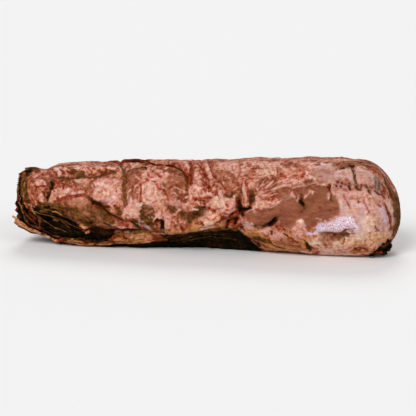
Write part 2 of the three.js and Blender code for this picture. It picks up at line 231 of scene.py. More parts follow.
# Rolled folds and thin raised edges: the tissue that shows, or plain where none does, the rise and
# half width in mm, and the path.
RIDGES = listed("""
pale 1.8 1.6 112,152 128,147 146,151 | 1.8 1.5 204,150 218,157 236,157
cream 1.6 1.4 282,146 296,151 312,147
pale 1.8 1.6 60,182 76,188 90,196
cream 1.6 1.5 226,186 246,182 262,188
pale 1.8 1.6 344,180 362,186 382,184
plain 6 7 186,-27 202,-20 222,-12 240,-3 250,8 | 5 8 266,-14 280,-6 296,4 306,14
plain 3.4 1.9 261.5,44 263,36 261.5,27 264.5,18 265.5,8
pale 1.8 1 280,25 286,31 293,38 | 1.4 0.8 279,25 283,32 289,41 | 1.4 0.8 278,26 281,34 286,43
pale 1.2 0.7 277,27 278,36 281,45 | 1.2 0.8 281,24 290,29 300,34 | 1.5 1 279,22 287,23 294,24
pale 1.5 1.2 277,17 285,16 291,13 | 1.2 1 277,12 286,9 296,9 | 1.4 1 266,1 270,4 275,6 279,9
pale 1.2 0.8 274,1 279,2 | 1.6 1.5 288,5 297,9 304,14 309,19 314,25 | 0.9 1.2 300,31 308,34 316,36 324,36.5
pale 2.2 1.6 414,30 420,16 423,2 424,-8 424,-20 | 1.8 0.8 321,27 322,21
pale 1.6 0.8 329,22 331,26 334,30 339,29 | 1.2 0.8 314,26 319,23 | 1.8 0.9 359,39 358.5,34 360,29
pale 1.6 0.8 354,28 354,22 | 1.4 1.4 213,86 217,72 221,60 226,46
film 1.2 1.2 21,48 19,36 19.5,24 22,13 25,4 27,-2
rust 1.4 1 13,14 16,5 20,-5
olive 1.2 0.8 25,-18 28,-27 31,-38
rust 1.2 0.8 18,-20 22,-29 26,-38
plain 1.2 1.2 154,36 154,24 155,14 | 1.2 1.2 165,36 165,24 164,12
pale 1.2 1.2 204,32 205,22 203,12 | 1.5 1.1 165,-8 163,-13 | 1.5 1.1 179,-12 176,-18
""")

# Swellings and hollows: where, the rise in mm, the middle, and the reach along and around in mm.
LUMPS = listed("""
front 1.8 30,40 8,6 | 1.2 40,20 3,5 | 1.4 56,37 7,6 | 1.8 48,17 6,5 | 5 88,-4 30,15 | -15 50,-24 24,9
front 3 84,-27 4,5 | 1.4 116,4 6,5 | 3.6 140,-1 8,7 | 3 165,34 34,26 | 1.4 158,26 9,16 | 1.4 136,48 6,9
front 1.4 184,44 12,13 | 4 184,-18 8,11 | 1.8 211,32 8,9 | 1.2 230,26 7,6 | 2.4 249,40 12,10
front 2.4 243,12 11,7 | 2.4 250,-12 5,5 | 1.5 340,4 36,20 | 3.5 366,-11 22,9 | 2.6 370,52 8,7
front 2.8 391,51 9,9 | 1.4 323,-18 8,9
top -8 420,84 11,24 | -7 422,58 11,22 | 1.6 58,66 16,9 | 1.8 92,66 18,10 | 1.4 13,97 6,9 | -2.2 28,100 12,22
top -2 104,92 15,16 | 1.4 240,60 12,8 | 4 408,80 7,9
back 2.4 76,136 14,12 | -2 150,150 16,10 | 2.2 196,134 18,12 | 1.8 262,152 14,10 | 2.6 300,136 20,12
back -1.8 352,128 14,12 | 2 386,140 14,14 | 2 250,190 20,9 | 3 130,188 70,16 | 3.5 320,186 70,18
underside 4 421,-64 11,16 | -15 224,-50 44,15 | 2 352,-40 44,12
""")

# The puckers where the silverskin is stitched to the muscle, and smaller pits in it.
PITS = [(363.5, 42), (368.5, 40.5), (363, 36.5), (368, 36), (389.5, 38.5), (377.5, 34), (386, 35),
        (388.5, 34), (398.5, 32.5), (406, 36), (354.5, 36), (326.5, 3.5), (346.5, 8.5), (358, 7),
        (350.5, -6.5), (387.5, 19.5), (408, 18.5), (293.5, -25), (344, -40), (352, -39.5), (407, -27),
        (220, 30.5), (382, 57)]
PIT_DEPTH, PIT_WIDTH = 2.4, 1.6
LIP_REACH = 9  # mm over which a lip sinks back to the skin
LINE_WANDER = (1.1, 7)  # how far the lines of the relief wander, and over what distance, in mm
UNEVENNESS = ((1.6, 27), (0.9, 11), (0.45, 5))  # rise and size in mm of the swellings all over
FOLD_DEPTH, FOLD_HEIGHT, FOLD_WIDTH = 7, 27, 5.5  # of the fold across the face of the tail end


def bell(*across):
    return np.exp(-sum(share**2 for share in across))


def faded(share, rate, least):
    """1 along a line, and down to the least at its two ends."""
    return np.minimum(1, rate * np.minimum(share, 1 - share) + least)


def relief(along, around):
    """How far the skin stands off the plain form, in mm."""
    along, around = wander(along, around, *LINE_WANDER)
    total = np.zeros(len(along))
    for _, depth, width, lip, path in GROOVES:
        near, distance, side, share = nearest(path, along, around, 3 * width + 5 * lip)
        raised = lip * np.clip(0.5 + 0.7 * side * distance / width, 0, 1) * np.exp(-distance / LIP_REACH)
        total[near] += (raised - depth * bell(distance / width)) * faded(share, 5, 0.2)
    for _, rise, width, path in RIDGES:
        near, distance, _, share = nearest(path, along, around, 3 * width)
        total[near] += rise * bell(distance / width) * faded(share, 5, 0.2)
    for _, rise, ((middle, angle), (reach_along, reach_around)) in LUMPS:
        total += rise * bell((along - middle) / reach_along, round_from(angle, around) / reach_around)
    for middle, angle in PITS:
        total -= PIT_DEPTH * bell((along - middle) / PIT_WIDTH, round_from(angle, around) / PIT_WIDTH)
    return total


def skin(along, around, lift=0.0, reach=0.0, full=None, detail=0.0, follow=1.0):
    """Points on the skin in metres, lifted off it by lift mm and moved by reach mm along the meat;
    follow is how far they follow its relief."""
    full = fullness(along) if full is None else full
    top, bottom, half_width = section(along)
    across, up = np.cos(np.radians(around)), np.sin(np.radians(around))
    half_height = (top - bottom) / 2
    plain = (np.abs(across / half_width) ** SQUARENESS
             + np.abs(up / half_height) ** SQUARENESS) ** (-1 / SQUARENESS)
    is_tail = along < LENGTH / 2
    tip = np.where(is_tail, TAIL_END["tip"], HEAD_END["tip"])
    centre = tip + ((top + bottom) / 2 - tip) * full
    points = np.stack([along, -plain * full * across, centre + plain * full * up], -1)
    uneven = sum(rise * swells(points, size, seed) for seed, (rise, size) in enumerate(UNEVENNESS))
    radius = (plain + follow * relief(along, around) + uneven + detail) * full + lift
    fold = FOLD_DEPTH * (1 - full) * bell((points[:, 2] - FOLD_HEIGHT) / FOLD_WIDTH)
    outwards = np.sqrt(np.clip(1 - full**2, 0, 1)) * np.where(is_tail, -1, 1)
    x = along - LENGTH / 2 + outwards * (uneven + detail + lift - np.where(is_tail, fold, 0)) + reach
    z = np.maximum(centre + radius * up, 0)
    return MM * np.stack([x, -radius * across, z], -1)


# Its mesh is a sphere whose rings are spread along the meat, closer at the side that shows.
RINGS = {"tail": 20, "body": 372, "head": 36}
ALL_RINGS = sum(RINGS.values())
SIDES = 228
CROWDING = 22  # degrees by which the sides are drawn together at the front

core = bmesh.new()
bmesh.ops.create_uvsphere(core, u_segments=SIDES, v_segments=ALL_RINGS, radius=1)
directions = np.array([v.co for v in core.verts])
ring = np.arccos(np.clip(directions[:, 2], -1, 1)) / pi * ALL_RINGS
turn = np.arctan2(directions[:, 1], directions[:, 0]) / (2 * pi)
around = 360 * turn - CROWDING * np.sin(2 * pi * turn)
over_tail = np.clip(ring / RINGS["tail"], 0, 1) * pi / 2
over_head = np.clip((ALL_RINGS - ring) / RINGS["head"], 0, 1) * pi / 2
body_share = np.clip((ring - RINGS["tail"]) / RINGS["body"], 0, 1)
along = (
    TAIL_END["length"] * (1 - np.cos(over_tail) ** (2 / TAIL_END["bluntness"]))
    + (LENGTH - TAIL_END["length"] - HEAD_END["length"]) * body_share
    + HEAD_END["length"] * np.cos(over_head) ** (2 / HEAD_END["bluntness"])
)
full = np.sin(over_tail) ** (2 / TAIL_END["bluntness"]) * np.sin(over_head) ** (2 / HEAD_END["bluntness"])

# The tissues that show, with painted shade and a painted highlight among them: how high each one's
# own fine lumps or wrinkles are and their size along and across the meat, in mm; how rough it is;
# and which texture its colour follows, with its colours from the low to the high. Lean is the bare
# muscle under all the others.
TISSUES = {
    "lean": (0.12, (16, 1.8), 0.44, "flesh", "7a432f 844b36 8b503a 965942"),
    "film": (0.55, (4.5, 4.5), 0.46, "marbling", "702a12 985037 b67158 d29a84"),
    "torn": (0.9, (5, 3.6), 0.42, "marbling", "4e1606 924029 c07d64 deae98"),
    "pale": (0.4, (4, 6), 0.38, "mottle", "a8604e c28471 cc9483 dcaea0"),
    "brown": (0.25, (6, 3), 0.6, "marbling", "642e19 884a31 98583f b2745c"),
    "olive": (0.3, (7, 3), 0.8, "smear", "281402 4a2b0a 643d19 885c34"),
    "silver": (0.25, (3, 9), 0.34, "smear", "aa6854 be8a7b c69c91 d0aeaa"),
    "tan": (0.7, (7, 2.6), 0.5, "smear", "864618 aa683a be7e4e d69e6c"),
    "rust": (0.5, (6, 2), 0.7, "smear", "3a0c00 662206 883717 aa5832"),
    "blood": (0.2, (3, 3), 0.45, "mottle", "701c0a 8c301c a0442f b45e4a"),
    # near black: real dried membrane on the tail's rim and the head's scrap, and painted shade elsewhere,
    # in creases, slits, holes, hollows and under the waist
    "dark": (0.4, (4, 2.5), 1, "smear", "020100 090601 160e04 36200c"),
    # pale lavender to near white: a painted highlight, the gloss and glints of the wet surface laid into
    # the colour
    "sheen": (0.7, (3.2, 2.4), 0.16, "crinkle", "9c7074 c6a4b0 ddc6d6 f6eefa"),
    "cream": (0.35, (4, 4), 0.36, "mottle", "c48e72 d0a48c d8b29c e8cab8"),
}
CLEAREST = 0.02  # a tissue with a smaller share than this has no lumps of its own

# What shows where, stroke by stroke, each laid over the ones before: half width in mm, strength in
# tenths, and the path.
# the folds before the head, the fat fold under them and the knot, with painted shade down the knot's deep
# grooves
# the hollow and the lower edge of the tail end, with painted shade deep in the hollow
# the painted highlight on the wet patch, with painted shade in its wrinkles, and the fat under it
# the slit and the puckers where the silverskin starts, and the two lumps over them, with painted shade in
# the slit and the pucker pits
STROKES = listed("""
# the film all over, and the top, the back and the underside
film 500 10 210,90 220,90
brown 16 6 40,186 150,186 280,186 390,184 | 24 10 40,268 200,268 400,268
film 12 8 60,262 130,272 | 10 7 210,264 280,272 | 12 8 330,268 390,262
pale 5 8 80,256 120,262 | 6 7 180,272 230,266 | 5 8 300,262 340,270 | 7 9 36,120 58,112 | 6 9 76,128 96,120
pale 8 9 140,108 170,112 186,106 | 6 8 210,124 226,116 | 7 9 246,104 276,110 | 8 8 310,116 338,108
pale 6 9 360,122 384,112 | 5 8 30,96 52,90 | 6 8 60,176 84,170 | 7 9 150,172 182,176 | 5 8 236,170 258,176
pale 8 9 296,172 330,176 | 8 9 50,224 84,230 | 6 9 132,222 160,228 | 9 9 212,226 250,222
pale 6 8 300,230 326,224 | 8 9 352,222 388,228 | 5 8 372,170 392,176 | 4 8 106,212 124,216
torn 6 9 100,104 124,112 | 7 9 196,100 214,108 | 6 8 286,124 300,114 | 5 9 340,128 356,120
brown 5 8 62,104 80,110 | 6 7 232,118 250,124 | 5 8 318,126 334,122 | 6 7 396,106 406,96
lean 6 9 52,192 78,196 104,190 | 8 9 138,194 172,190 200,196 | 6 8 222,198 244,192
lean 9 9 268,192 306,196 340,190 | 5 9 360,196 384,192
silver 5 9 42,146 70,140 98,144 | 9 8 84,138 130,134 168,140 | 5 8 160,142 206,136
silver 8 8 232,140 270,134 312,138 | 10 9 300,136 344,140 378,134 | 4 7 366,146 398,140
film 2.4 8 88,134 120,140 | 3 7 236,136 262,142 | 2.4 7 300,140 330,132 362,138
cream 2 8 46,166 76,160 104,164 | 2.4 9 112,166 150,160 196,167 | 1.8 8 206,170 240,174 270,168
cream 2.6 9 276,166 318,160 362,158 396,164 | 2 8 44,212 90,208 | 2.2 8 150,210 210,214 262,208
cream 2 8 290,216 340,220 386,210 | 1.6 7 60,128 74,124 | 1.8 7 320,112 334,108
tan 1.2 7 60,170 110,168 160,164 | 1.4 7 220,176 280,170 340,162 | 1.2 7 100,214 160,214
tan 1.4 7 240,212 330,220
olive 2.4 8 113,104 114,116 117,128 | 1.4 7 117,128 119,142 | 2.8 6 110,112 119,119 | 3 7 84,200 100,206
olive 2.4 7 172,214 190,210 | 3.2 7 262,208 282,214 | 2.6 7 382,204 396,212
rust 0.9 8 60,118 68,134 72,152 | 0.8 7 150,116 158,130 170,150 | 0.9 8 222,112 230,140 226,160
rust 0.9 8 296,112 302,134 298,158 | 0.8 7 350,110 356,130 362,146 | 0.8 7 84,176 110,182 140,180
rust 0.8 7 180,182 220,178 262,184 | 0.8 7 300,180 350,184 390,178 | 0.8 7 120,202 170,206 214,200
rust 1 8 66,236 110,240 150,236 | 0.8 7 230,238 290,240 350,236
blood 1.2 8 92,112 102,124 | 1.3 8 178,118 190,128 | 1.2 7 262,116 272,128 | 1.1 8 330,122 344,130
blood 1.2 8 64,206 80,212 | 1.4 8 200,206 214,214 | 1.2 8 320,208 334,214 | 1.4 7 376,130 386,146
dark 0.8 7 132,176 146,184 | 0.8 7 246,182 258,188 | 0.7 7 338,178 352,184 | 0.8 7 96,118 99,130
# the back of the head end
pale 2 8 414,160 420,150 425,156 | 2.4 8 414,-150 422,-158 427,-140 | 1.6 8 418,-110 424,-120 428,-100
pale 1.4 8 421,90 424,104 424,120
cream 0.9 7 416,-170 421,-176 | 0.8 7 420,140 423,150
rust 0.8 8 416,130 422,124 426,130 | 0.8 7 420,-128 425,-136 429,-128 | 0.7 7 423,172 428,168
# the tail end
olive 16 10 0,180 0,90 0,0 0,-90 0,-180
rust 4 6 4,140 4,60 4,-20 4,-120
dark 3.4 10 9,110 10,80 9,60 9,30 9,5 10,-10
olive 5 9 15,96 18,84 22,72
dark 3 9 13,80 14,66 14,56
rust 2 8 20,90 24,78 22,66
torn 7 10 42,67 54.5,62.5 68,65.5 | 7 10 80,64.5 95.5,66 109,68 | 6 10 28.5,61 41,59 | 8 8 54,32.5 63.5,31.5
torn 7 9 27.5,38 34.5,37.5
film 8 10 67.5,37.5 79.5,36 91,35 | 7 10 64,27 80,26.5 94,27 | 4 10 23.5,37.5 28,31 | 3 9 34.5,27 40.5,25
film 3.4 10 53,33.5 56.5,32.5 | 4 9 86,69 94,68.5
brown 6 10 79.5,34.5 89,33.5 | 3.2 10 91,35 92.5,27 | 3 8 23.5,27 29,16 | 2 8 40,32.5 42,37.5
brown 2.6 10 96.5,45.5 106,45 115,46 123.5,48 | 2.4 8 49.5,44.5 60,44 | 2.4 9 45.5,79 56,79
brown 2 8 59.5,67 66.5,62 | 2.4 8 27.5,21 29,11.5
pale 10 10 103.5,34 117,34 | 10 10 106.5,20.5 118,19.5 | 3 9 47,17.5 50.5,15 | 2.6 10 21,54 27,57
pale 2.6 9 29.5,40.5 37,39 | 2 9 35,18.5 34.5,10.5 | 2.4 10 44,71 48.5,64 | 2 10 51,59.5 53.5,53
pale 1.2 9 59,62 60.5,55.5 | 0.9 8 43,58 44.5,55.5 | 3.4 10 68.5,69.5 74,65 | 2.4 9 74,42.5 81,41
pale 2.6 10 63,26.5 71,24.5 81.5,24.5 | 1.8 10 57.5,19 62,19.5 | 0.8 7 79.5,32.5 81.5,37 84.5,35
pale 1.2 8 56,29.5 58.5,30 | 1.4 9 29.5,69.5 35,64.5 | 2.4 9 95,64 102.5,59.5 | 1.6 9 83,56.5 85,52
pale 2 10 107.5,64.5 113.5,62.5 | 1.2 8 91.5,50 95,50.5 | 2 7 86,40.5 87.5,37.5
cream 1.2 9 47.5,26.5 48,25 | 1 9 35.5,26.5 36.5,25.5 | 1.4 7 49.5,62.5 52,58.5 | 1 8 71,68 74,64
cream 1.2 6 66.5,30.5 68.5,29.5 | 2.2 5.5 106.5,25 108,23 | 2.4 5.5 116.5,22 118.5,19
cream 2.2 5 102,38 106.5,38 | 1.1 10 111.5,63.5 115,63.5 | 1 9 120,64.5 122.5,61.5 | 1.5 9 112.5,3.5 116,4
cream 1 6 93,67.5 97,66
olive 17 10 69,-4.5 86,-6 101,-6.5 | 8 10 59.5,2 73.5,0.5 | 8 10 103,-3.5 112,-9
olive 2.4 9 56,48 66.5,46.5 76,47 85,48.5 | 1.6 9 55.5,41.5 60,42.5 | 2.6 9 68,59 74.5,55.5 79.5,53.5
olive 1.6 9 50,73.5 55.5,71 | 1.8 8 58,78 65,75.5 | 1.8 10 92,48 98.5,48.5 105,51.5 113.5,55.5 120,58
olive 2 8 104.5,54 113.5,55 120,57 | 1.4 8 35,44 43.5,45 | 1.6 7 27,49 29.5,47.5 | 2 7 46.5,35 47,32.5
olive 3.6 10 16.5,37 16.5,25.5 17.5,15.5 | 2.6 9 19.5,11 20.5,4.5
film 1.5 8 19,40.5 19.5,30 22,20 24.5,10.5 25.5,0.5
tan 0.7 5 19.5,37.5 20.5,26.5 23,17 | 0.7 6 18.5,54.5 14.5,41 13,28.5 13,17.5 15.5,9.5
tan 1.4 7 29.5,26.5 32,26 | 2 6 45.5,17.5 50.5,14
brown 7 4.5 85,7 101,-3.5 108.5,-15 | 4 3.5 64.5,-2 75.5,-13 | 1.4 5 80.5,-5 91.5,-13
brown 5.5 10 69,12 78,14 87.5,15 | 3 8 59.5,9.5 66.5,9.5 | 2.6 7 64.5,6.5 78,6.5 | 1.3 7 68,-1 71,-6
brown 2 6 75.5,-18.5 80,-17 | 2.6 8 97,-18 109.5,-19.5 | 2.4 3.5 86,-1.5 90.5,-4.5 | 2 3 93,7.5 97.5,5
pale 4 3 69,12 80.5,14 87.5,14
tan 3 3 69,10.5 80.5,12.5 87.5,13 | 2.2 9 57.5,-17.5 64,-18 70.5,-19.5 | 1.2 6 106,-21.5 110.5,-21
tan 1.8 2.5 93,-7 96,-11.5 | 1.2 2.5 87.5,5.5 89.5,8.5
pale 1.6 4 73.5,15.5 82.5,17.5 | 0.8 4 98.5,-16.5 101.5,-17.5
dark 3 4 82.5,-12.5 84.5,-15 | 4 3.5 92.5,-16 100.5,-17 | 2 10 90.5,18.5 94,14 98,10
dark 1.4 10 98.5,12.5 104,10 109,4 | 2.4 4 59.5,-5.5 66.5,-11 75.5,-14.5 | 3 3.5 103.5,1 110,-3.5
dark 3.6 8 93,-26 102.5,-26.5 110.5,-26 | 1.6 5 58.5,0.5 62,-3.5
rust 1.1 10 56,14.5 63,16 69,18.5 75.5,20.5 82.5,22 | 1.5 10 50.5,9.5 57.5,12.5 | 1.3 9 32,49 38.5,49.5
rust 1 9 29.5,30.5 34.5,33 38,34 | 1.5 10 55,59.5 58,53.5 | 0.9 8 47.5,49.5 53.5,49.5
rust 1.5 7 97.5,9 102.5,4.5 | 1.4 6 70,-3.5 72.5,-7 | 0.9 7 27,34 29,24 | 0.8 7 25,23.5 26.5,12.5
rust 1 8 89.5,19 92,16.5 | 1.6 9 114.5,-7 119,-10 | 1.2 8 86,48.5 89.5,46.5
blood 1.5 9 51.5,11 57.5,15 63,17 70,19 79,21.5 87,21.5
rust 0.7 7 53,11 59.5,14.5 69,17.5 80.5,20 | 1.3 9 46,57.5 50,51.5 | 1 9 40,68 45.5,60 | 1.3 9 62,58 67,55.5
rust 1 9 73,73.5 75,69.5 | 1.6 8 74.5,80 82.5,81 | 1.3 8 83.5,63.5 90.5,56 | 1.4 9 88.5,52 93,52 95.5,54
rust 1.8 10 98.5,58 105,55.5 | 1.2 9 99,67 105,70.5 | 1 9 108.5,60.5 113,58.5
rust 0.9 8 51.5,37.5 56,39 59.5,36.5 61,33 59.5,28.5 | 0.8 7 51.5,30.5 54,34.5 | 1 7 72.5,37.5 75,32.5
rust 0.8 7 76.5,28.5 83.5,28.5 | 1.1 7 94.5,37.5 97,32.5 | 0.9 7 100.5,27.5 102,26 | 0.9 7 104,29 105,27.5
rust 0.8 6 111,42 112.5,41 | 0.8 6 115.5,39.5 116.5,39 | 1 7 122,35 124.5,35.5 | 0.9 6 120.5,28.5 122,27.5
rust 0.8 5 107.5,19 110,18 | 0.9 6 117,13.5 119,13.5 | 0.8 5 103.5,12 108,13 | 0.8 8 30,7.5 32,2
rust 1.3 9 110.5,7.5 114.5,7 | 0.9 6 62,35.5 65,31.5 | 1 5 106.5,40 109,38.5 | 1.1 7 36.5,58 40.5,54.5
rust 0.9 7 67.5,41.5 72,40
silver 1.2 5 33.5,17.5 31,11.5
sheen 0.9 4 53,58 55,54.5 | 1.2 3 66,28.5 69.5,27.5
dark 2 10 45,41.5 47.5,36.5 | 1.7 10 44.5,31.5 47.5,29 | 1.1 9.5 45.5,25 44,19.5 42.5,16 42.5,11
dark 1 10 36.5,25 38.5,20 40.5,16 42.5,12 | 1.4 9 46.5,37 46.5,31 | 0.8 6 26.5,2.5 29,-2
# the hollow and the lower edge of the tail end
dark 11 10 34,-22 48,-25 62,-30 72,-34 | 8 10 26,-30 38,-38 54,-43 74,-42 | 7 10 17,-8 21,-18 28,-30
dark 7 10 84,-38 100,-37 112,-36 | 9 10 74,-44 110,-44 150,-46
olive 5 10 33.5,0.5 45.5,3.5 55,1.5
dark 9 10 38,-18.5 52,-20.5 65.5,-26.5 | 6 10 31,-8 40.5,-11.5 50,-8 | 1.8 10 39.5,1 45.5,2
dark 1.5 9 49,-0.5 54,-2.5 | 7 10 53.5,-32.5 74.5,-30.5 | 3 10 26.5,-2.5 28.5,-12
olive 3.2 10 36,-6.5 41,-6.5 | 1.3 9 45.5,-2.5 49,3.5 54,2.5 57.5,-2.5 | 1.6 7 57,-10.5 64,-14 70.5,-18
olive 1.2 7 45.5,-9 50,-14.5 54.5,-18.5
tan 0.9 9 48,-4 53,-4.5 58,-8 | 3.2 10 81.5,-24 86,-27.5 | 1.3 10 85,-34.5 87.5,-33.5
tan 1.2 6 46.5,-29 51,-29.5
pale 1.5 7 82.5,-25.5 85,-26.5
rust 1.3 9 79,-28.5 82,-31.5 | 1.1 8 88.5,-22.5 89,-29.5 | 1.6 8 29.5,-40.5 32.5,-44.5
tan 0.9 9 13,12.5 16,3 18.5,-5 | 0.8 9 22.5,-3.5 25,-11.5 26,-16.5 | 0.5 5 26,-18 28.5,-27 30,-40.5
rust 1 9 14.5,9.5 19,-1 23,-8.5 | 0.9 8 11,1 13,-11 16,-21 | 0.8 8 20.5,-9.5 22,-20 25,-28.5
rust 0.8 8 29,-23 31.5,-34.5
dark 2.6 10 15.5,-19 17.5,-27.5 19.5,-33.5
rust 0.7 8 14.5,-14 17,-23 21,-30 | 0.6 7 19,-15.5 22.5,-23.5 26,-29.5
olive 2 6 38.5,42.5 43,36.5 45,31
# the middle
film 4 9 125,7.5 129.5,6 | 3 9 122,54.5 125.5,50
brown 6.5 10 136,50 138,38.5 139,24 | 6 10 138,56.5 145,50 | 10 10 185,48.5 191.5,41 | 8 10 182,33 195.5,33
brown 3 8 137,64 141,67.5 | 5 8 137,18.5 140.5,17.5 | 5 8 194,22.5 199.5,22 | 3 7 180.5,60.5 189.5,58
pale 7.5 10 159,32 159.5,20 | 5 10 153,48.5 158,40 | 6.5 9 166,52 172,47 | 5 8 165,41.5 170,32
pale 6.5 10 167,20 170.5,9.5 | 5.5 10 169.5,2 172,-5 | 6.5 10 137,2 144,0.5 | 3.4 10 132.5,-2.5 133.5,-7
pale 4 10 141.5,-5 145,-3.5 | 3 8 151.5,58.5 158,60.5 | 1.6 10 134,71.5 136,76 139,71.5
pale 1.4 10 127,67 131,61 | 1.3 10 122.5,76.5 125.5,73.5 | 1.8 8 137,17 140.5,14.5 144,16.5
pale 3 8 136,13 141.5,12 | 2.6 9 177.5,-2 178.5,-6.5 | 2.4 10 191,14 197.5,9.5 204,12
pale 1.5 9 188.5,8.5 191.5,2.5 | 1.4 9 117,1 119.5,-1.5 | 1.5 10 126.5,-22.5 131,-20.5
pale 1.3 10 129.5,-23.5 135.5,-25 137.5,-24.5
cream 6 4 157.5,33.5 159,17.5 | 1.2 7 151.5,33.5 153,14.5 | 1.3 8 165.5,34.5 166.5,23 165.5,15.5
cream 2.8 8.5 138.5,2 143,1.5 | 3 3.5 157,28 159.5,17.5 | 3 3.5 170.5,13.5 172,2.5 | 1 7 158.5,9 160,5.5
cream 1 7 173.5,34.5 174.5,33 | 2 10 146,10 150.5,10.5 | 1 8 173.5,59.5 175.5,62.5
tan 0.9 9 140.5,70.5 146.5,68.5 149.5,64.5 | 0.8 8 151.5,63 156,66 | 3 3 168.5,17.5 173,1
tan 3.4 9 182.5,-25.5 191.5,-24 | 4.4 10 203,-19.5 213,-17.5
film 2.6 9 199.5,-13 211,-11
brown 1.2 7 183.5,-5.5 183.5,-13.5 | 2 7 189,-5 191,-13.5 | 3 6 184,13.5 189.5,12.5
brown 1.4 7 140.5,-12 146,-13 | 5 7 130.5,50 132.5,33 133.5,20
olive 1.6 8 118.5,77.5 122.5,66 126.5,59 | 1.9 8 126,57 129,50.5 129.5,44.5
olive 2.2 8.5 129,40.5 130,33 130.5,25 131.5,18 | 1.5 7 132,18.5 134,11 | 3.4 3.5 131.5,51.5 134,37
olive 2 8 137.5,61.5 144,63 148.5,60.5 | 1.1 8 131,55.5 134,61 139.5,62 | 1.3 8 146.5,73.5 151.5,71
olive 1 9 156.5,64 159,68 166,66.5 | 4 3 184,56.5 191.5,53 | 1.5 8.5 193,56.5 196.5,48 199.5,41 199.5,34
olive 3.3 10 153,6 158.5,4.5 163,1 | 2.8 9 154.5,0.5 158.5,-2 | 3.6 10 156,-5.5 160,-10 159.5,-19.5
olive 1.8 8 153,-9.5 155,-15.5 | 1.5 8 163.5,-3.5 165,-8.5 | 3 9 151.5,-12.5 154,-6.5
olive 2.8 10 149.5,-2 153,-8 | 3.2 10 141.5,-14 145.5,-21 | 3.2 9 123,4.5 126,0 | 2.6 8 127.5,-1 126,-5.5
olive 2.6 9 180,7 184.5,4 185,0 | 1.5 8 186.5,8 188.5,4.5 | 4.4 10 194,-2.5 199.5,-6.5 204,-6.5
olive 4.4 10 204,-6.5 212,-1.5 | 1 6 172.5,39 174.5,34.5 | 1.4 7 174,-5.5 174.5,-12
olive 2.4 8 147.5,-24 159,-26
brown 1.7 8 153,1.5 159,0 | 2.2 7 155.5,-18 159.5,-24 | 1.8 5 197.5,-2.5 203,-1.5 | 1.6 4 182,8 185.5,5
pale 0.8 8.5 134.5,18.5 135,25 137,30 | 0.8 7.5 138,16 138,22.5 139.5,28 | 0.9 9 141,29 142.5,34 146,35.5
pale 0.8 8 144,26 147,26.5 | 0.9 8 147,22.5 147.5,17.5 | 0.9 8 142,47 145,44
pale 0.6 6 179.5,38.5 183.5,42.5 189.5,39.5 | 0.7 7 182.5,30.5 186.5,33 191.5,30.5 193.5,26.5
pale 0.6 6 186,49.5 191,47 195,42.5 | 0.7 7 181.5,25.5 186,26 190.5,22.5 | 0.9 8 193.5,30.5 197.5,27
pale 0.6 5 184.5,44 182,48.5 183.5,53 | 0.9 8 196.5,-0.5 199,2 | 0.9 8 180.5,-5.5 182,-9.5
pale 0.9 8 193.5,-12.5 197.5,-14 | 1.3 10 203,29.5 204,22 205,14 | 1.5 10 192,78.5 197,64 200,52
pale 2.5 10 206.5,48.5 208,40 | 3.2 10 206.5,34 211.5,27 | 0.8 7 133,61 137,66
cream 0.9 10 163,-14.5 163.5,-11.5 167,-7 | 1.1 10 179.5,-11.5 177.5,-16 176,-20 | 1 8.5 206.5,5 211,4
cream 1 9 198.5,20.5 201,22 | 0.8 8 151.5,-12.5 152.5,-13.5
sheen 2.2 3.5 154,-20 157,-23 | 1.2 3 146.5,-12.5 150.5,-14.5 | 1 3 144.5,-16 148.5,-20.5
sheen 1 3 122,-16.5 126.5,-21 | 1 3 141,14.5 144.5,13 | 1.6 3 145,10 151,11.5 | 3.4 2.5 183,15.5 187.5,12.5
sheen 1 3 191,16.5 195,12.5 200,10 | 2 3 109,16.5 117,14
blood 1 10 148,38 149,30.5 149,23 148.5,17 | 1.6 9 154,51.5 156,47.5 | 1.5 8 153,44 155.5,41
blood 1.1 8 157,46.5 161,45 | 1.3 8 156.5,59 159,55 | 1.7 8 165.5,50.5 170,46 | 1.1 8 160,40 164,39.5
blood 1.6 10 166.5,36.5 169,32 172.5,31.5 | 0.8 5 153,31.5 153.5,21 | 0.9 6 162.5,12.5 166.5,15.5
blood 1.5 6 141,42.5 144,39 | 1.1 6 134.5,33.5 139,35 | 1.3 9 128,78.5 131.5,67.5
blood 1.2 7 140.5,56.5 143,53.5 | 1 6 136.5,-10.5 145,-9.5 | 1.1 6 131,-4.5 133,-5.5
blood 2.6 10 125,-12.5 133,-16.5 | 1.7 9 126,-18 133.5,-20.5 | 0.8 6 181,33 183.5,27.5
blood 1.1 8 194.5,63.5 198.5,54.5 202,46 | 1.3 9 206,31.5 208.5,25 | 1.3 8 207,20 212,17.5
blood 1.1 8 206,53.5 211,50.5 | 0.8 6 157,17.5 160.5,15 | 1 5 172.5,27 175,23 | 1.6 6 171,53.5 174,57.5
blood 0.9 6 169.5,6.5 172,3.5
rust 0.9 9 159.5,54.5 164.5,51.5 | 1.3 8 173.5,30 176,27.5 178.5,22 | 1.1 7 179,19.5 180.5,16.5
rust 0.7 8 138.5,21.5 139,26.5 140.5,30 | 0.7 8 143,24 143,30 145.5,33.5 | 0.8 8 145,21.5 145.5,17
rust 0.7 7 146,50 148,46.5 | 1 10 127.5,44 129,39.5 | 0.9 10 128,18.5 130,13.5 132,7.5
rust 0.7 6 183,36 189.5,36.5 196.5,34 | 0.7 6 188,28 192.5,23.5 197.5,25 | 1 8 191,20 194.5,19
rust 1 8 196,16 200,18.5 | 1.3 9 200.5,36 200,29.5 | 1.4 10 194,97.5 200,68.5 201.5,56 203,46.5 203.5,37.5
rust 1.1 8 205,12.5 210,11.5 | 0.9 8 205,72.5 207,78.5 | 1.3 8 207.5,42 212,39.5 | 1.5 9 120,9 121,4
rust 1.5 8 132.5,-8.5 137.5,-13.5 | 1.2 8 167.5,-8.5 167,-16.5 167.5,-24.5 | 1 8 165.5,-14.5 166,-23
rust 2.1 9 178,-24.5 181.5,-21 | 1.3 9 179,-28.5 182,-28 | 1.7 7 194,-15.5 197.5,-20 | 1.1 8 150,63.5 155,67
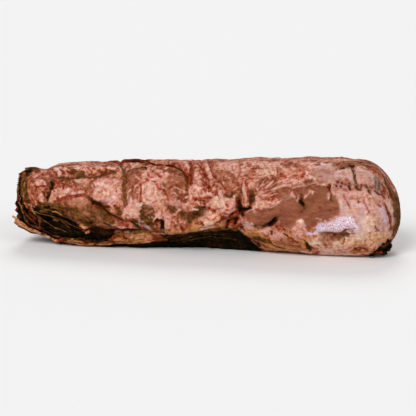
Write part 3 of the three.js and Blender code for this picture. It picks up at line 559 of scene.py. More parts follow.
rust 1 7 109,-24.5 114,-23.5 | 1.4 7 159.5,-22.5 162.5,-28.5
dark 0.9 7 119,75 122.5,66 126.5,58 129.5,52.5 | 0.9 7 127.5,39.5 128,33 | 0.6 7 129.5,14.5 131.5,9
dark 1.1 9 144.5,68.5 149,64.5 151.5,60.5 | 1.4 8 128,91.5 135.5,87 | 1.7 6 151.5,8 157,8.5
dark 1.2 6 159,6 163,5.5 | 1.3 8 138,-13.5 143.5,-19.5 148,-24.5 | 2.5 10 172,-12 172.5,-18 172,-23.5
dark 1.1 6 193.5,-17 195,-20.5 197,-22.5 | 1.6 10 103.5,11 106.5,6.5 110,2.5
dark 1.4 10 109.5,-2 117,-5.5 123,-9.5 | 1.3 6 197.5,-8 204,-9.5 | 1.2 6 182,3 185.5,1.5
dark 1 9 161,-29 174.5,-29.5
pale 1.7 8 178,-11.5 179,-19.5 | 0.9 7 155.5,-2.5 157,-1 | 0.8 7 161.5,-6 162,-8.5
tan 2 8 177.5,-24.5 182.5,-28.5 | 1 6 165,-19.5 165.5,-25.5
film 1.6 6 185.5,-3 189.5,-5.5 | 1.2 6 150.5,1.5 153.5,0
olive 2 9 162.5,-25.5 167.5,-28 173.5,-27.5
rust 0.9 7 163.5,-22.5 168,-25.5 172,-27.5
olive 2.4 9 150.5,0.5 152.5,-8 157,-16.5 | 1.2 7 148,-5 149,-9.5 | 0.8 7 166.5,5 168,2
olive 2 8 159.5,-9.5 162.5,-15 161.5,-22.5 | 1.6 8 140.5,-11 145,-14
pale 0.6 8 152.5,2.5 154,1.5 | 0.6 8 160,2 162,1 | 0.6 7 153.5,-4 155,-5 | 0.6 7 158,-7 159.5,-8.5
brown 1 6 150.5,7 157.5,8 162,6.5
olive 2.2 7.5 105.5,4.5 113.5,-2.5 121.5,-7 | 2 7 112,-10.5 119,-15.5 | 1.6 8 107,-21 116,-24
dark 1.3 9.5 103.5,9 110,2 117,-3.5 123.5,-8.5 128,-12
rust 0.7 7 106.5,8 114.5,1.5 123.5,-4 130,-10.5 | 0.9 7 122.5,-13.5 130,-19
brown 3 5 122.5,-13 130,-18
pale 0.9 8 120,-18 124,-21 130,-22.5 | 0.7 7 113,-18.5 117.5,-21
dark 1.4 9 114,-26 123,-26 132,-27 139.5,-28 | 1.8 9 133,-26.5 139.5,-26.5
dark 1 8 107.5,-15 116.5,-21.5 123,-24.5
olive 1.8 9 141,-27.5 149.5,-28.5 158.5,-29.5
dark 2 9 127,-29 134,-30 140.5,-30.5
olive 2.2 8.5 140.5,-31.5 149.5,-32 158.5,-33
# the shadowed arch under the waist
dark 15 10 168,-51 200,-47 232,-43 252,-40 | 20 10 170,-64 220,-66 262,-66
dark 5 10 246,-27 254,-30 260,-40 268,-52 | 14 10 176,-78 220,-80 256,-80
olive 1 6 166,-42 190,-40 220,-38 246,-34 | 0.8 5 176,-48 206,-46 240,-44 | 1.2 5 170,-54 200,-54 244,-50
olive 0.9 5 190,-60 220,-58 250,-56
rust 0.8 5 176,-38 200,-36 214,-36
# the folds before the head, the fat fold under them and the knot
torn 6 9 258,71 267,61 | 8 8 221.5,29.5 230,29 | 5 9 209.5,49 215,40 | 5 8 273.5,60.5 282.5,60.5
torn 5 8 297,48.5 306,46
pale 6 10 236,69.5 242,56.5 | 5 9 259,63.5 262,54 | 6 9 277.5,72.5 289.5,64.5 | 6 10 279,52 291,53.5
pale 4 8 294,74.5 298.5,64 | 7 10 212.5,29.5 218,25.5 | 3 9 209.5,49 214.5,39.5 | 2.6 9 306.5,41 313,42
pale 2 9 226,63 231,53 234.5,47 | 4.4 8 246,75.5 252,57.5 | 3 8 267,77 272.5,70
brown 8.5 10 242,46.5 247.5,36.5 | 7.5 10 251.5,39.5 256.5,32.5 | 3.2 8 227,73 233,55
brown 3 8 236,51.5 241.5,53.5 | 2.8 8 297.5,62 303,56 | 3 7 305,71 308.5,77 | 1.8 7 263,52 265.5,46.5
brown 1.5 7 250.5,88.5 255,68.5 255.5,57 | 4 7 248,29 256.5,29 | 2.4 7 313,44.5 320.5,43.5
brown 3 6 214.5,55.5 217.5,49
pale 1.9 10 217,69 221,57 224,48.5 227.5,39 | 1.5 9 252,51 255.5,45.5 258.5,40 | 1.3 7 237.5,43 240,37.5
pale 2.5 10 235.5,31 237,24 238.5,18 | 1.7 10 225.5,26 231,21 | 3 8 221.5,21.5 228,22.5
silver 2.1 6 236,28.5 238,20.5 | 2.6 6 259.5,56.5 263.5,53
cream 2.6 7.5 284,54 293,54 | 1 8 308.5,47.5 310.5,46.5 | 2 6 209.5,34 213.5,30.5
cream 2.2 5 236.5,64.5 240.5,61 | 1.1 9 251,23.5 254,21
olive 2.1 9 242,25 246,21 249.5,24 | 1.5 8 250,25.5 254,27.5 | 1.6 5 262,47.5 264.5,48
rust 1.7 10 204.5,75.5 211,65.5 215,58.5 218,52.5 221,46.5 223.5,40 223.5,34.5 224.5,28.5
rust 0.8 6 234.5,52.5 240,51 | 0.9 7 255,47.5 256.5,44.5 | 1.5 9 225,35.5 227,29.5
rust 1.3 8 229.5,37 232.5,31.5 233.5,26 | 1.2 9 210,17 220,16 | 1.5 8 221.5,11.5 226,14.5
rust 0.9 8 296,60.5 298.5,52 | 0.9 8 290.5,48.5 294.5,48 | 0.7 8 266,44.5 273,44.5 280.5,43.5
rust 2 6 244.5,18 250,19.5
dark 0.8 5 211,65 218,52.5 223,40 | 1.4 8 244,22 248,21
blood 1.6 10 219.5,74.5 223.5,59 226.5,51.5 230,46.5 233,41.5 236,37.5 | 1 9 236,37.5 241,31.5 244.5,27.5
blood 1.3 8 261.5,75 264.5,63.5 | 1.1 7 273,62 279.5,58.5 | 1.5 7 301.5,45.5 304.5,48.5 307.5,45.5
blood 0.9 6 277,48 284,49.5 | 0.9 5 286,42.5 295.5,44.5 | 1.5 10 219,33.5 220.5,27
blood 1.6 10 214.5,19 220.5,20.5 226,20 231,18 | 1 7 245,30 253.5,31.5 | 0.9 7 213.5,44.5 217.5,38.5
blood 1.1 7 209.5,57.5 213.5,52 | 0.9 6 268.5,57 270,52 | 1 6 228.5,28 230,22.5 | 1.2 7 246.5,64 250,54.5
blood 0.8 6 241.5,69.5 244.5,72 | 1 7 259,36.5 260.5,31.5
cream 0.8 7 232,39.5 235.5,36.5 239,32.5 241.5,28.5 | 0.8 4 248,39.5 250.5,36.5 | 1.2 6 233,21 234,17
sheen 0.9 2 218.5,66 221.5,56.5 | 1.3 3 233,21 234,17
olive 4.2 10 215,7 219.5,1.5 | 3.2 10 210.5,-1.5 219,-1.5
dark 1.3 7 211.5,-6.5 219,-4.5 | 1.2 5 214,7 218.5,7.5
pale 8 10 232,9.5 242,11.5 250.5,10.5 | 6 10 224,-1.5 233,-1.5 243,1.5 | 1.3 9 222.5,10.5 226,13.5
pale 1.1 9 212,14.5 214.5,11.5 | 1 8 215,11 219,10.5
tan 7.5 9 214,-18 226.5,-13.5 239.5,-8 | 6 10 210.5,-23.5 224,-21.5 236,-15
pale 5 4.5 216.5,-13 226.5,-8.5 237.5,-6
tan 4 5 217.5,-15.5 228.5,-10 242,-3
rust 1.1 6 219.5,-10.5 225,-7 | 1 6 230.5,-13.5 238.5,-9.5 | 0.9 6 236.5,-1.5 242,2
rust 0.9 6 226.5,-2.5 232,-0.5
torn 3 6 215,-11.5 228.5,-3 | 2.6 6 231,-8.5 244,0 | 2 6 220.5,-20 237.5,-14 | 2.4 5 228.5,4 239.5,6.5
blood 1 6 213,-20 218.5,-17 | 0.9 5 223,-17.5 228.5,-15 | 0.9 5 230.5,-13 235,-10
blood 0.8 5 219.5,-7.5 224,-5.5
rust 0.8 6 210.5,-14 214,-12.5 | 0.8 5 225,-22.5 230.5,-19.5 | 3 8 242,-5.5 246.5,-2
cream 3 6 231.5,11.5 240,14.5 | 2.6 7 221.5,-13.5 227,-10.5 | 2 6 216.5,-22.5 229,-19
cream 1.1 9 209.5,4.5 212.5,4.5
blood 1.3 9 244,12 246.5,9 | 1.1 7 244.5,5.5 248,4.5 | 1.7 9 224.5,6.5 229,3 | 1 7 230.5,-7 234.5,-3
blood 0.9 6 250.5,8 253,5.5 | 1 6 236.5,3 239.5,1 | 0.9 5 224,-6 228.5,-9
sheen 1 3.5 242.5,-1.5 248,-1.5
rust 1.1 8 228.5,5 232,2 | 1.3 10 217.5,-11.5 219.5,-14 | 1 6 233.5,-10.5 242.5,-6 | 1 8 243.5,-4.5 245,-6
rust 1.3 8 214.5,-27 226,-25 237,-21 244,-17 | 3.8 10 252,-2.5 256.5,0 | 4.2 10 249.5,-12.5 254.5,-8
rust 3.2 9 254.5,-19 260,-17.5 | 2.6 8 256,15.5 256,8.5
olive 1.7 9 209.5,-29.5 221.5,-27.5 232.5,-24.5 244,-21.5 255,-23.5 | 2.1 8 255.5,20 259.5,21.5
blood 1.7 8 248,-15 252,-10.5 | 1.3 7 254,-2 257,1 | 1.1 8 260.5,36 261.5,30.5
tan 1.3 7 248.5,-6 250,-7.5
rust 2.6 9 257.5,18.5 258.5,11.5
dark 1.4 6 259,17 259.5,11.5 | 1.6 7 257,8.5 258.5,2.5 | 3.2 10 261.5,7.5 265,4
dark 2.6 10 265,3 269.5,4.5 272.5,7 | 2.4 9 261.5,-0.5 263,-4.5 | 1.7 9 253.5,-13 256.5,-7
dark 1.3 9 246.5,-8 245.5,-14 244,-20.5 | 1 7 248,-4.5 250,-5.5 | 1.5 8 259.5,-13 260.5,-22
dark 1 9 250,-1.5 252,0.5
olive 1.6 5 262,3 264.5,6
pale 1.6 10 263,35.5 263,29 265,21.5 265,15 266.5,8.5 | 1.7 9 267.5,42 269,34 270.5,29.5
cream 1.1 8 263.5,29.5 265.5,19.5
film 1.7 9 262.5,15 264.5,9.5
blood 0.9 10 266,36.5 267,31.5 267,27 267.5,21 | 1 10 269,44 265,42.5 264,40 264,36.5
olive 2.8 10 271.5,27.5 272,21.5 272.5,12.5
dark 1.6 6 270.5,25 271,14.5 | 1.4 7 271.5,17 273.5,13.5
rust 1.5 9 269.5,9 274,11 | 1.1 9 275,14 275,8.5 | 1 9 267,25 268.5,28
film 5 3.5 242,46.5 247.5,36.5 | 4 3.5 251.5,39.5 256.5,32.5
torn 2.4 4 238.5,49.5 246.5,45 | 2 4 249.5,34 255.5,30
pale 0.8 6 242,47 246,44.5 | 0.7 6 246,38 249.5,34
torn 6 4 208,63.5 220,45.5 232,34.5 | 5 4 215,74 236,58.5 | 4 4 273,65 289.5,56.5
rust 0.7 7 261,34 261.5,26.5 263.5,19 263.5,12.5
# the fan of thin folds and the roll of muscle under it
brown 8 10 281.5,33 291.5,31.5 | 4 10 296.5,25.5 307,27 | 5 8 289,39.5 299,38 | 5 8 279,39 284.5,39
pale 4 10 277.5,11 286,9 294.5,12.5 | 4 10 294,10.5 303,16 310,20.5 | 2.2 10 278,21 284.5,20.5 290.5,20.5
pale 2 10 279,15.5 288.5,13 | 1.7 10 270.5,3 276,3 281,1
film 2.4 6 292,20.5 295.5,17 | 1.2 8 288,17.5 294.5,15.5
lean 4 8.5 298.5,26 307,28 | 3.2 8.5 302,21.5 309.5,25
brown 2.6 5 293,27 301.5,29.5 | 2 6 296.5,20.5 304,22
torn 1.4 3 299.5,28 304,26 | 1.2 3 306,25 309.5,26.5
pale 1.1 10 277,21.5 282,27 287,32.5 293,38.5 | 0.8 9.5 277.5,30.5 281.5,34.5 287.5,38.5
pale 0.8 8.5 276.5,26 283,31 289,36 293.5,40 | 0.8 8.5 272.5,41 278.5,40 | 0.7 7 279,24 285.5,28.5 291.5,34
pale 0.6 7 283.5,23 289.5,26.5 295,30 | 0.6 6 287.5,23.5 293,27 297.5,28.5
pale 0.6 7 278,24.5 286,31 294.5,36 303,40.5 | 0.6 7 280.5,33.5 288,38.5 294,42
pale 0.6 6 283.5,20.5 292,23.5 300.5,26
rust 0.5 7 278.5,29 287,35 294.5,38.5 | 0.5 6 283.5,24 292,29 299.5,32.5 | 0.5 6 285,36 291,40
cream 0.9 10 295.5,31 301.5,32.5 308,34.5 316.5,35.5
blood 0.8 9 277.5,28 283,32 289.5,37.5 | 0.9 8 281,21.5 287.5,25 293.5,28.5 | 0.9 10 282,19 290,18 297.5,18
blood 1.4 10 276,6 279.5,4 284,4.5 285.5,7.5 | 0.8 6 287.5,10.5 290.5,7.5 | 0.8 6 297.5,21.5 303,22
rust 0.6 8.5 280,26 286,30.5 291.5,34.5 296,39.5 | 0.6 7.5 276,33 280.5,36.5 287,41.5
rust 0.8 7 293,21.5 296,23 | 0.6 7 283,27 289.5,32.5
pale 2.2 10 292.5,9 300,12 307.5,17.5 314.5,23.5
cream 1 9 300,13.5 307,18.5 313.5,24
blood 0.8 6 298,15 302,17.5
lean 5.4 10 270,-2 284,-0.5 298.5,5 | 5 10 279,-8.5 288,-7 296.5,-1 | 2.6 9 273,-6.5 277,-12.5
brown 2.6 7 263.5,-7.5 269,-8.5 | 2.2 5 284,1.5 292.5,3 | 3 5 269.5,-13.5 276,-18
olive 2.8 5 279,-15.5 286.5,-12.5
rust 2.5 7 261,-16 264,-20.5 | 0.9 5 271.5,-4.5 277,-3
dark 1.5 7 260,-19.5 264,-15.5
silver 3 5 266,-12.5 271,-16.5
sheen 1.7 2.5 267,-12.5 271,-13.5 | 1.5 2.5 268,-19 273,-17 | 1 2 258.5,-13 263.5,-11
sheen 0.9 5 267.5,-25 274.5,-25.5 281.5,-26.5
cream 1.1 8 272.5,-11 274,-12
dark 1.9 10 300.5,-3.5 298.5,-8 294,-13 289,-17 285,-20.5
olive 0.9 7 296.5,-9.5 299.5,-5.5
# the fat under the head
tan 7 10 270,-30.5 283,-33.5 296,-36.5 | 7 10 300.5,-38 313.5,-40 | 5 10 286.5,-48 301.5,-52.5 315,-52.5
tan 8 9 315.5,-41.5 330,-38.5
olive 4.4 8 269.5,-34.5 278.5,-38 288.5,-39 | 2.2 9 279.5,-33 282,-39 | 2.2 6 309,-40.5 324.5,-44
pale 3.4 10 285.5,-23 293,-23.5 | 3.4 9 295,-30 301.5,-31 | 2 8 301,-24 306.5,-26.5
brown 5 7 303,-36 312.5,-38.5 | 3.2 7 315.5,-35 325,-36.5
tan 2.2 9 309.5,-24.5 314.5,-27 | 1.3 10 270.5,-46.5 279,-58 290.5,-59.5
tan 1.5 9 288.5,-43.5 299.5,-49.5 313,-53.5 | 0.9 10 279.5,-68 288.5,-71.5 300,-72 | 2 8 266.5,-31 271,-35
rust 1.3 10 293,-23.5 293.5,-27.5 | 1.1 8 289.5,-35.5 293,-40 | 1.1 8 308.5,-25.5 313.5,-31
rust 1.1 8 281,-54 293,-56.5 | 1.1 8 315,-29.5 318.5,-34 322,-36 | 0.9 6 313,-41 325,-41.5
blood 0.9 8 283,-25 287.5,-30 291,-33 | 0.8 6 296.5,-24.5 299,-27.5
dark 0.9 8 307,-25 311.5,-27.5 | 1 8 270,-45 275.5,-51.5 | 1.5 9 272,-47 277.5,-55.5
dark 1.3 8 291,-41.5 297.5,-47.5 307,-49.5 | 0.9 6 282.5,-42 289,-44 | 1.4 6 279.5,-35.5 281.5,-39.5
# the head: bare muscle under torn film, and the silverskin
film 14 10 322.5,56.5 344.5,53.5 360,49
silver 10 10 369.5,49.5 390,50.5 398.5,46 | 15 10 380.5,21.5 397.5,21 410,20
silver 17 10 379,1.5 396,0.5 410.5,-5.5 | 10 10 370.5,8.5 375,-6 | 12 9 392,-18 404.5,-13.5
lean 8 8 340.5,49.5 356.5,50.5 | 6 7 346,44 358,44
silver 8 4 340.5,49.5 356.5,50.5 | 6 4 346,44 358,44 | 6 8 364,34.5 368.5,28.5
lean 14 10 312,2 325,10 341.5,14 351,14 | 10 10 328,24 344,27 | 7.5 10 353.5,22 357,11.5
lean 10.5 10 313.5,-3 330.5,-1.5 348,2.5 | 5.5 10 357.5,3.5 363,5 | 4.6 10 348,30.5 354,30.5
lean 3.6 10 320,30.5 333,31.5 343.5,33.5
brown 4.4 3.5 357,10.5 361.5,4 | 2.6 5 313.5,29 324.5,29.5 | 4 3 316.5,14 323,7
olive 5 3 338,20.5 349.5,23.5 | 3 2.5 331.5,15 338,16.5
pale 4.4 7 330,58.5 335,65.5 | 2.6 10 327,48.5 333.5,44.5 | 1.5 9 338,45 342.5,41 | 2.4 9 314.5,41 322,39
pale 1.7 10 320.5,37 329.5,38 337,39.5 344,42.5 | 1.5 9 343,38 352.5,38 | 1.3 9 313,34.5 322,35.5 331,36
pale 2 8 312,66 316.5,54.5 | 1.4 7 325,70.5 329,74
cream 1.4 9 329,53 329.5,50.5 | 1.2 6 330,46.5 333,45
brown 2.5 8 319,70.5 325.5,62 | 1.6 8 330.5,33.5 343.5,35
silver 4.4 8 341,62 354,65 361,71.5 | 2 6 334,70 339,74.5
blood 1.6 8 326.5,55 326.5,50.5 325,48 | 1.5 7 323,47 327.5,52 | 0.9 6 331,55 334,57.5
blood 0.8 5 343,46.5 347,47.5 | 1 6 315.5,49.5 319.5,51
rust 1.1 8 317.5,77 319,74 | 1.1 7 336,67 340,65 | 0.8 5 316.5,47.5 323,49.5
olive 0.9 8 327,40 332.5,40 337.5,41 | 0.9 7 340.5,67 345,63 | 0.9 6 344.5,69.5 349.5,72
sheen 2.1 3.5 345,65.5 356.5,68.5 | 0.9 7 342.5,70.5 346.5,66.5 | 1.4 3 330.5,63.5 333,67.5
# small things on the bare muscle
rust 0.9 8 326.5,4.5 327,3 | 0.7 5 363.5,4.5 364,3.5 | 1.1 9 355,38 354,34 | 0.9 6 313.5,26.5 320.5,25.5
olive 0.9 6 346,10 346.5,7.5 | 0.9 5 357,7.5 359,6.5 | 1.1 8 350.5,-5 350.5,-8 | 1.5 8 325.5,25 327,20
olive 1.1 8 329,10.5 330.5,9
pale 0.7 6 356.5,-3 360.5,-3.5 | 0.6 6 340,32 343,32 | 0.9 9 321,17.5 322.5,19.5 323,24
pale 0.9 10 329.5,21 330.5,23 332.5,26 334.5,28.5 337,28.5 338,26.5 | 1 9 315,26.5 317,23.5 318.5,21.5
pale 0.9 7 342.5,-2.5 348.5,-3 | 1.2 9 352.5,-5 353,-7
olive 2.2 7 324.5,18 326.5,15.5 328.5,12.5 330,10
dark 1.1 9 324.5,17.5 326.5,15.5 328.5,12.5 | 0.9 7 320,22.5 321,21.5
# the slit and the puckers where the silverskin starts, and the two lumps over them
dark 0.9 7 356,36.5 356.5,31.5 357.5,25.5 358.5,20.5
olive 1.5 8 356.5,21 359,18.5 361,15.5
pale 1.3 10 359,39 358.5,34 359.5,29 360.5,26.5 | 1 9 356,30 355.5,25.5 355.5,21
silver 6.5 9 367,51.5 374,48 | 8 10 389.5,52 396,47.5
brown 5 4 365,39 376,36.5 | 5 4 382,35.5 397,35 | 3 4 401,39 409.5,38
film 3 4 386,42 394.5,41.5 | 2 4 368,44 375.5,42.5 | 3 5 397,47 400.5,40.5 | 2.4 5 373,43.5 377.5,41.5
silver 3 5 392.5,45.5 397.5,43
sheen 2.1 2 363,56 366,56.5
rust 1.1 7 363,42.5 364,41.5 | 1.1 7 368,41 369,40 | 1.1 7 362.5,37 363.5,36.5 | 1.1 7 367.5,36.5 368,36
rust 1 6 364.5,45 365.5,44 | 1.6 7 384,37.5 386,35 390,34 | 1.4 7 376,37 377.5,33.5 380,32.5
rust 1.4 9 389,39 390,38 | 1.1 8 410,35.5 413.5,32.5 | 1 8 400.5,39.5 402,38.5 | 1.3 6 372.5,39 375,37.5
olive 1.9 5 376.5,40.5 377.5,36 | 1.7 6 394.5,39.5 397.5,35 | 1.5 5 380,39.5 384,38 | 1.2 4 403,39 406.5,39
dark 0.9 8 363.5,42 364,41.5 | 0.9 8 368.5,40.5 369,40.5 | 1 9 362.5,37 363,36.5 | 1.1 9.5 367.5,36.5 368,36
dark 1 9 376,36.5 377.5,33.5 380,32.5 | 1.2 9.5 384,37 386,35 389.5,34 | 0.8 7 389.5,38.5 390,38
dark 1.1 9 396.5,34 398.5,31.5 400,31 | 1.1 9 404,37 406,36 408,34
blood 0.9 6 370.5,33.5 374,32 | 0.7 5 374,28.5 376,28 | 1 6 412.5,39 413.5,35
dark 1.2 7 379,58.5 381.5,54
olive 1.3 7 381.5,54 381.5,48 383,42.5 | 1.5 4 383.5,41 386,36.5
dark 0.8 5 381,51 382.5,44
# the top of the head
brown 6 9 362.5,69.5 370.5,74.5 381.5,76 | 5 9 380.5,72 392.5,70 405,74
olive 3.4 7 362.5,68 368.5,63.5 | 1.6 8 368.5,73 379.5,71 393,67 | 1.2 8 377,78 390,74.5 403,76.5
olive 1 8 384.5,77 398.5,79 407.5,86 | 0.8 7 366,66 374,71.5 383.5,74
brown 2.6 8 362.5,65 372,70 | 1.7 9 391,81.5 400,85 406,101.5
rust 1.1 6 391.5,63.5 406,69
dark 0.9 5 375,82 385.5,77.5 396.5,74 405.5,77.5 | 1.9 9.5 375,66.5 378.5,66.5 379,61
dark 1.5 7 365.5,60 369.5,61.5 | 0.9 6 366,76.5 374.5,79.5
pale 0.9 8 377.5,63 386.5,66.5 393.5,65.5 | 0.8 7 387.5,75 396.5,76.5 402,77.5 | 0.7 6 364.5,71 370.5,74.5
tan 0.7 6 383,70 390.5,68
cream 3.4 10 407,90 410,85 413,78.5
blood 1.3 7 407,70.5 409,66.5
silver 3.8 8 405,59 406.5,43
olive 3.4 6 405,59 406.5,43
dark 0.8 5.5 402.5,54.5 403.5,42.5 | 0.8 5.5 407,55.5 408,43.5 | 0.8 4 401.5,57.5 401,48.5
sheen 0.6 2.5 404.5,56 405.5,42 | 0.6 3 409,56 410,44
# the silverskin
pale 6.5 6 380,28 391.5,26.5 | 5.5 6 401,26.5 408.5,24.5 | 3 4 381,16.5 385.5,9.5 | 3 5 401,15 403,7.5
cream 3.2 4 368.5,18.5 369.5,13 | 1.7 7 374,11 376,9.5 | 1.4 7 395.5,7.5 396.5,6.5
cream 5.5 8.5 395.5,-2 401.5,-5.5 | 5 8 399.5,-11.5 397,-17 | 3.8 6 380.5,7 376.5,1 | 2.4 4 402,18 403,13
cream 2.4 4 384,23 386.5,13.5
sheen 1.5 3 369.5,16 370,10.5 | 2.5 3.5 390,18.5 392,11.5 | 3 3.5 389.5,-4 391,-15.5 391.5,-25
sheen 4 5 410,15 413.5,9 415,-2 | 2 2.5 377.5,22.5 380,17.5
tan 2.5 3 407,18 408,6.5 406.5,-8.5 | 1.1 6 409,-1.5 409,-10.5 | 2 3.5 403.5,3.5 404.5,-5
tan 1.6 3.5 382,5.5 383.5,-2
blood 0.9 8 371,27 373,21.5 | 0.9 6 374,21 376,16 378.5,11 | 1 8 392,24.5 393.5,21.5 395,16 397.5,12 398.5,8
blood 1.3 9 387,20 388,19 | 1.3 9 407.5,19 408.5,17.5 | 0.8 7 397,6 397.5,5 | 0.8 5 412.5,-0.5 412.5,-7
film 4 3 380.5,22 397.5,22 414,24
rust 1 9 414,24.5 416.5,16.5 418,7.5 420,-5.5 421,-21 420.5,-39 | 1.3 8 405.5,-11 407,-16 408.5,-20
rust 1 8 405,-19.5 409,-20.5 410.5,-23 414,-21.5 | 1.2 9 396,-21 400.5,-20.5 404.5,-23
cream 2.2 9 418,28 421.5,15.5 424.5,-10.5 426,-49.5 423.5,-80
tan 1 5 419.5,12.5 422.5,-13.5 423.5,-42
rust 0.8 7 417,21.5 421,2.5 423.5,-25 424,-77 | 0.7 5 411.5,-11.5 414.5,-23 418.5,-40
tan 1.4 8 424.5,15.5 427.5,-25.5 426.5,-76
# the wet patch and the fat under it
tan 3.4 3.5 346,-27 360,-28 371.5,-26 | 5 5 333.5,-36 349,-36 361.5,-36.5
tan 8 8 396,-29.5 410.5,-32.5 421.5,-44.5 | 5.5 7 372.5,-34 385.5,-33.5
cream 5.5 6 380.5,-26.5 373.5,-35 364,-38 | 4 6 338,-34 346.5,-37 | 4 5 388,-21 396,-24
brown 4 8.5 349,-21.5 362,-23.5 375,-21 | 3 5 351,-28.5 362,-29.5
olive 3 6 352.5,-22 363,-24 375,-21.5 | 1.4 5 349,-27.5 357.5,-29.5 366.5,-29.5
olive 2 2.5 385.5,-30.5 392,-33.5
brown 2 3 357.5,-22.5 366.5,-22
cream 6 2.5 338,-35 362,-36 | 9 4 394,-29 410.5,-31 421.5,-43.5 | 5 3 345,-23 349,-23.5
blood 1.1 6 343,-39.5 344.5,-40.5 | 1.3 7 350.5,-37.5 353.5,-41
silver 5 6 349,-11.5 362,-7 372.5,-1.5 | 3 5 385.5,-5.5 390,-13
sheen 3 9 343,-16.5 347,-15.5 | 4.6 10 348.5,-15 353.5,-14.5 | 5.6 10 356.5,-13.5 363,-12 368,-11
sheen 5 10 368.5,-8.5 375,-7 379.5,-6.5 | 2.7 8 369,-2.5 377,-1.5 381.5,-3 | 2.1 7 381,-11.5 386,-10
sheen 1.9 7 333.5,-22.5 339.5,-22.5 344,-21.5
silver 0.7 7 355.5,-10.5 359,-13.5 | 0.7 7 368.5,-7.5 370,-10 | 0.7 7 373.5,-10.5 382,-10.5
silver 0.7 6 361,-16.5 368.5,-15.5
blood 0.7 6 371.5,-4.5 372.5,-5.5 | 0.7 7 334.5,-20 339,-20.5
sheen 0.9 8.5 384,-17.5 388,-17 | 0.9 8 376.5,-18 380.5,-19.5
dark 0.7 6 374.5,-18 378.5,-20.5 383,-20.5
rust 0.8 5 380.5,-17.5 384.5,-16 387,-14
sheen 1.6 6 380,-6.5 384.5,-9.5 388,-13.5 | 1.2 6 381.5,-13.5 386.5,-15
olive 1.1 8 371.5,-18 375,-15.5 | 1 9 375.5,-20.5 375,-25 373.5,-28.5 370.5,-35
cream 1 9 374,-26 376.5,-27 | 3.2 10 323,-10 326,-10
pale 5 9 321.5,-16 329,-18.5 | 4.4 8 319.5,-21.5 328,-24
film 2.2 7 332.5,-17 338.5,-19 | 2 6 324,-21.5 328.5,-25
blood 0.7 6 324,-17.5 326.5,-21 | 0.7 5 328.5,-21.5 330.5,-25
tan 1.1 9 337,-18 341,-17 | 1.8 6 330.5,-27.5 336,-30
rust 0.9 7 341,-17 342,-16.5 | 0.9 6 395,-31 395.5,-37.5 | 1 6 400,-38.5 403.5,-35.5
rust 0.7 5 408.5,-33 414.5,-35.5 | 1 5 324,-30.5 328.5,-30.5
dark 1.7 9 331.5,-37.5 332,-44 335,-47.5
olive 2.1 7 330,-33 332,-40
cream 4 8 347.5,-48.5 358,-48 | 1 10 357.5,-58 360.5,-50 364,-45
cream 1.1 9 361,-42 370,-45 378.5,-44.5 385.5,-41
pale 5 9 365.5,-50.5 376,-51.5 | 2 7 351,-55.5 357,-61.5
sheen 1.3 4 351,-46.5 358,-52.5
cream 3 8 345,-58.5 360.5,-59 373.5,-58.5 387,-56 | 2.2 6 323.5,-55 334.5,-57.5
pale 2.6 8 386,-50.5 399.5,-54.5 410,-61 | 1.6 6 350.5,-73 370.5,-71
rust 0.7 5 353.5,-62.5 369,-64 384,-62
tan 2.6 9 380.5,-47.5 389,-50.5 398.5,-47.5
rust 1.3 10 383,-42.5 389.5,-43 395.5,-46.5
# the dried strip round the edge of the head end
olive 4 10 414,76 417.5,62 422,55 | 5 10 424,52 427,39 428.5,6 | 2.6 9 429,-5.5 428.5,-48 426,-80
olive 2 9 411,82 414,72
tan 0.7 6 419.5,66 425.5,50 428.5,15.5 | 0.6 5 423.5,42 427,12.5 428,-39
dark 0.9 6 413,69 417,56 420.5,44 | 0.7 5 417,73 422,61 425.5,44
rust 0.7 8 415,25.5 419,16 422,-2 424,-28.5 424,-59.5 | 0.6 7 418.5,24.5 422.5,7 425,-22.5
cream 0.8 8 417,26.5 420.5,14.5 423.5,-4.5 424.5,-33
# the dried face of the head end
brown 6 10 430,180 430,90 430,0 430,-90 430,-180
olive 5 10 426,84 429,60 430,20 430,-20 430,-60 | 2.6 9 419,84 424,66 427,48 | 2 6 425,110 424,140
olive 2 6 425,-90 425,-130
rust 0.8 6 424,100 424,130 423,160 | 0.7 5 424,-60 423,-100 424,-140
tan 0.8 5 420,110 421,128 | 0.8 5 420,-120 421,-136 | 0.7 6 421,76 424,64
dark 0.7 6 419,88 423,72 425,58 | 0.7 5 424,-20 424,-50
# the folds in the face of the tail end
brown 3 5 3,60 3,20 | 2.4 5 3,-60 3,-120 | 3 5 3,150 3,210
dark 1.1 8 3,130 2.4,90 3,50 | 0.9 7 2.6,-30 3,-80 2.4,-120 | 0.8 7 4,170 3,210
tan 0.7 5 3.6,70 4,44 | 0.6 5 4,-70 3.6,-100
blood 1.1 7 4,40 3,10 | 0.9 6 4,-60 3,-90
""")
WIDE = 2.5  # mm of half width from which a stroke's edges wander more
FINE_WANDER, BROAD_WANDER = (1.0, 5, 8), (2.4, 9, 5)  # how far, over what distance in mm, and the seed
SOFTNESS = (1.3, 7)  # the least and the most mm over which a stroke's edge fades
RIDGE_PAINT = (0.6, 0.9)  # strength on the line, and reach as a share of the half width
BORDER_PAINT, GROOVE_PAINT = (0.35, 1.3), (0.4, 0.62)
PIT_PAINT = (0.4, 1.1)  # strength in the middle, and reach in mm
BORDERS = {  # the tissue along the edges of a groove of each tissue
    "dark": "rust",
    "olive": "brown",
    "rust": "blood",
    "blood": "brown",
    "lean": "lean",
    "tan": "tan",
}


def cover(tissues, name, share):
    """Lays a tissue over the others; share is 0 where none of it shows and 1 where nothing else does."""
    for other in tissues:
        tissues[other] *= 1 - share
    tissues[name] += share


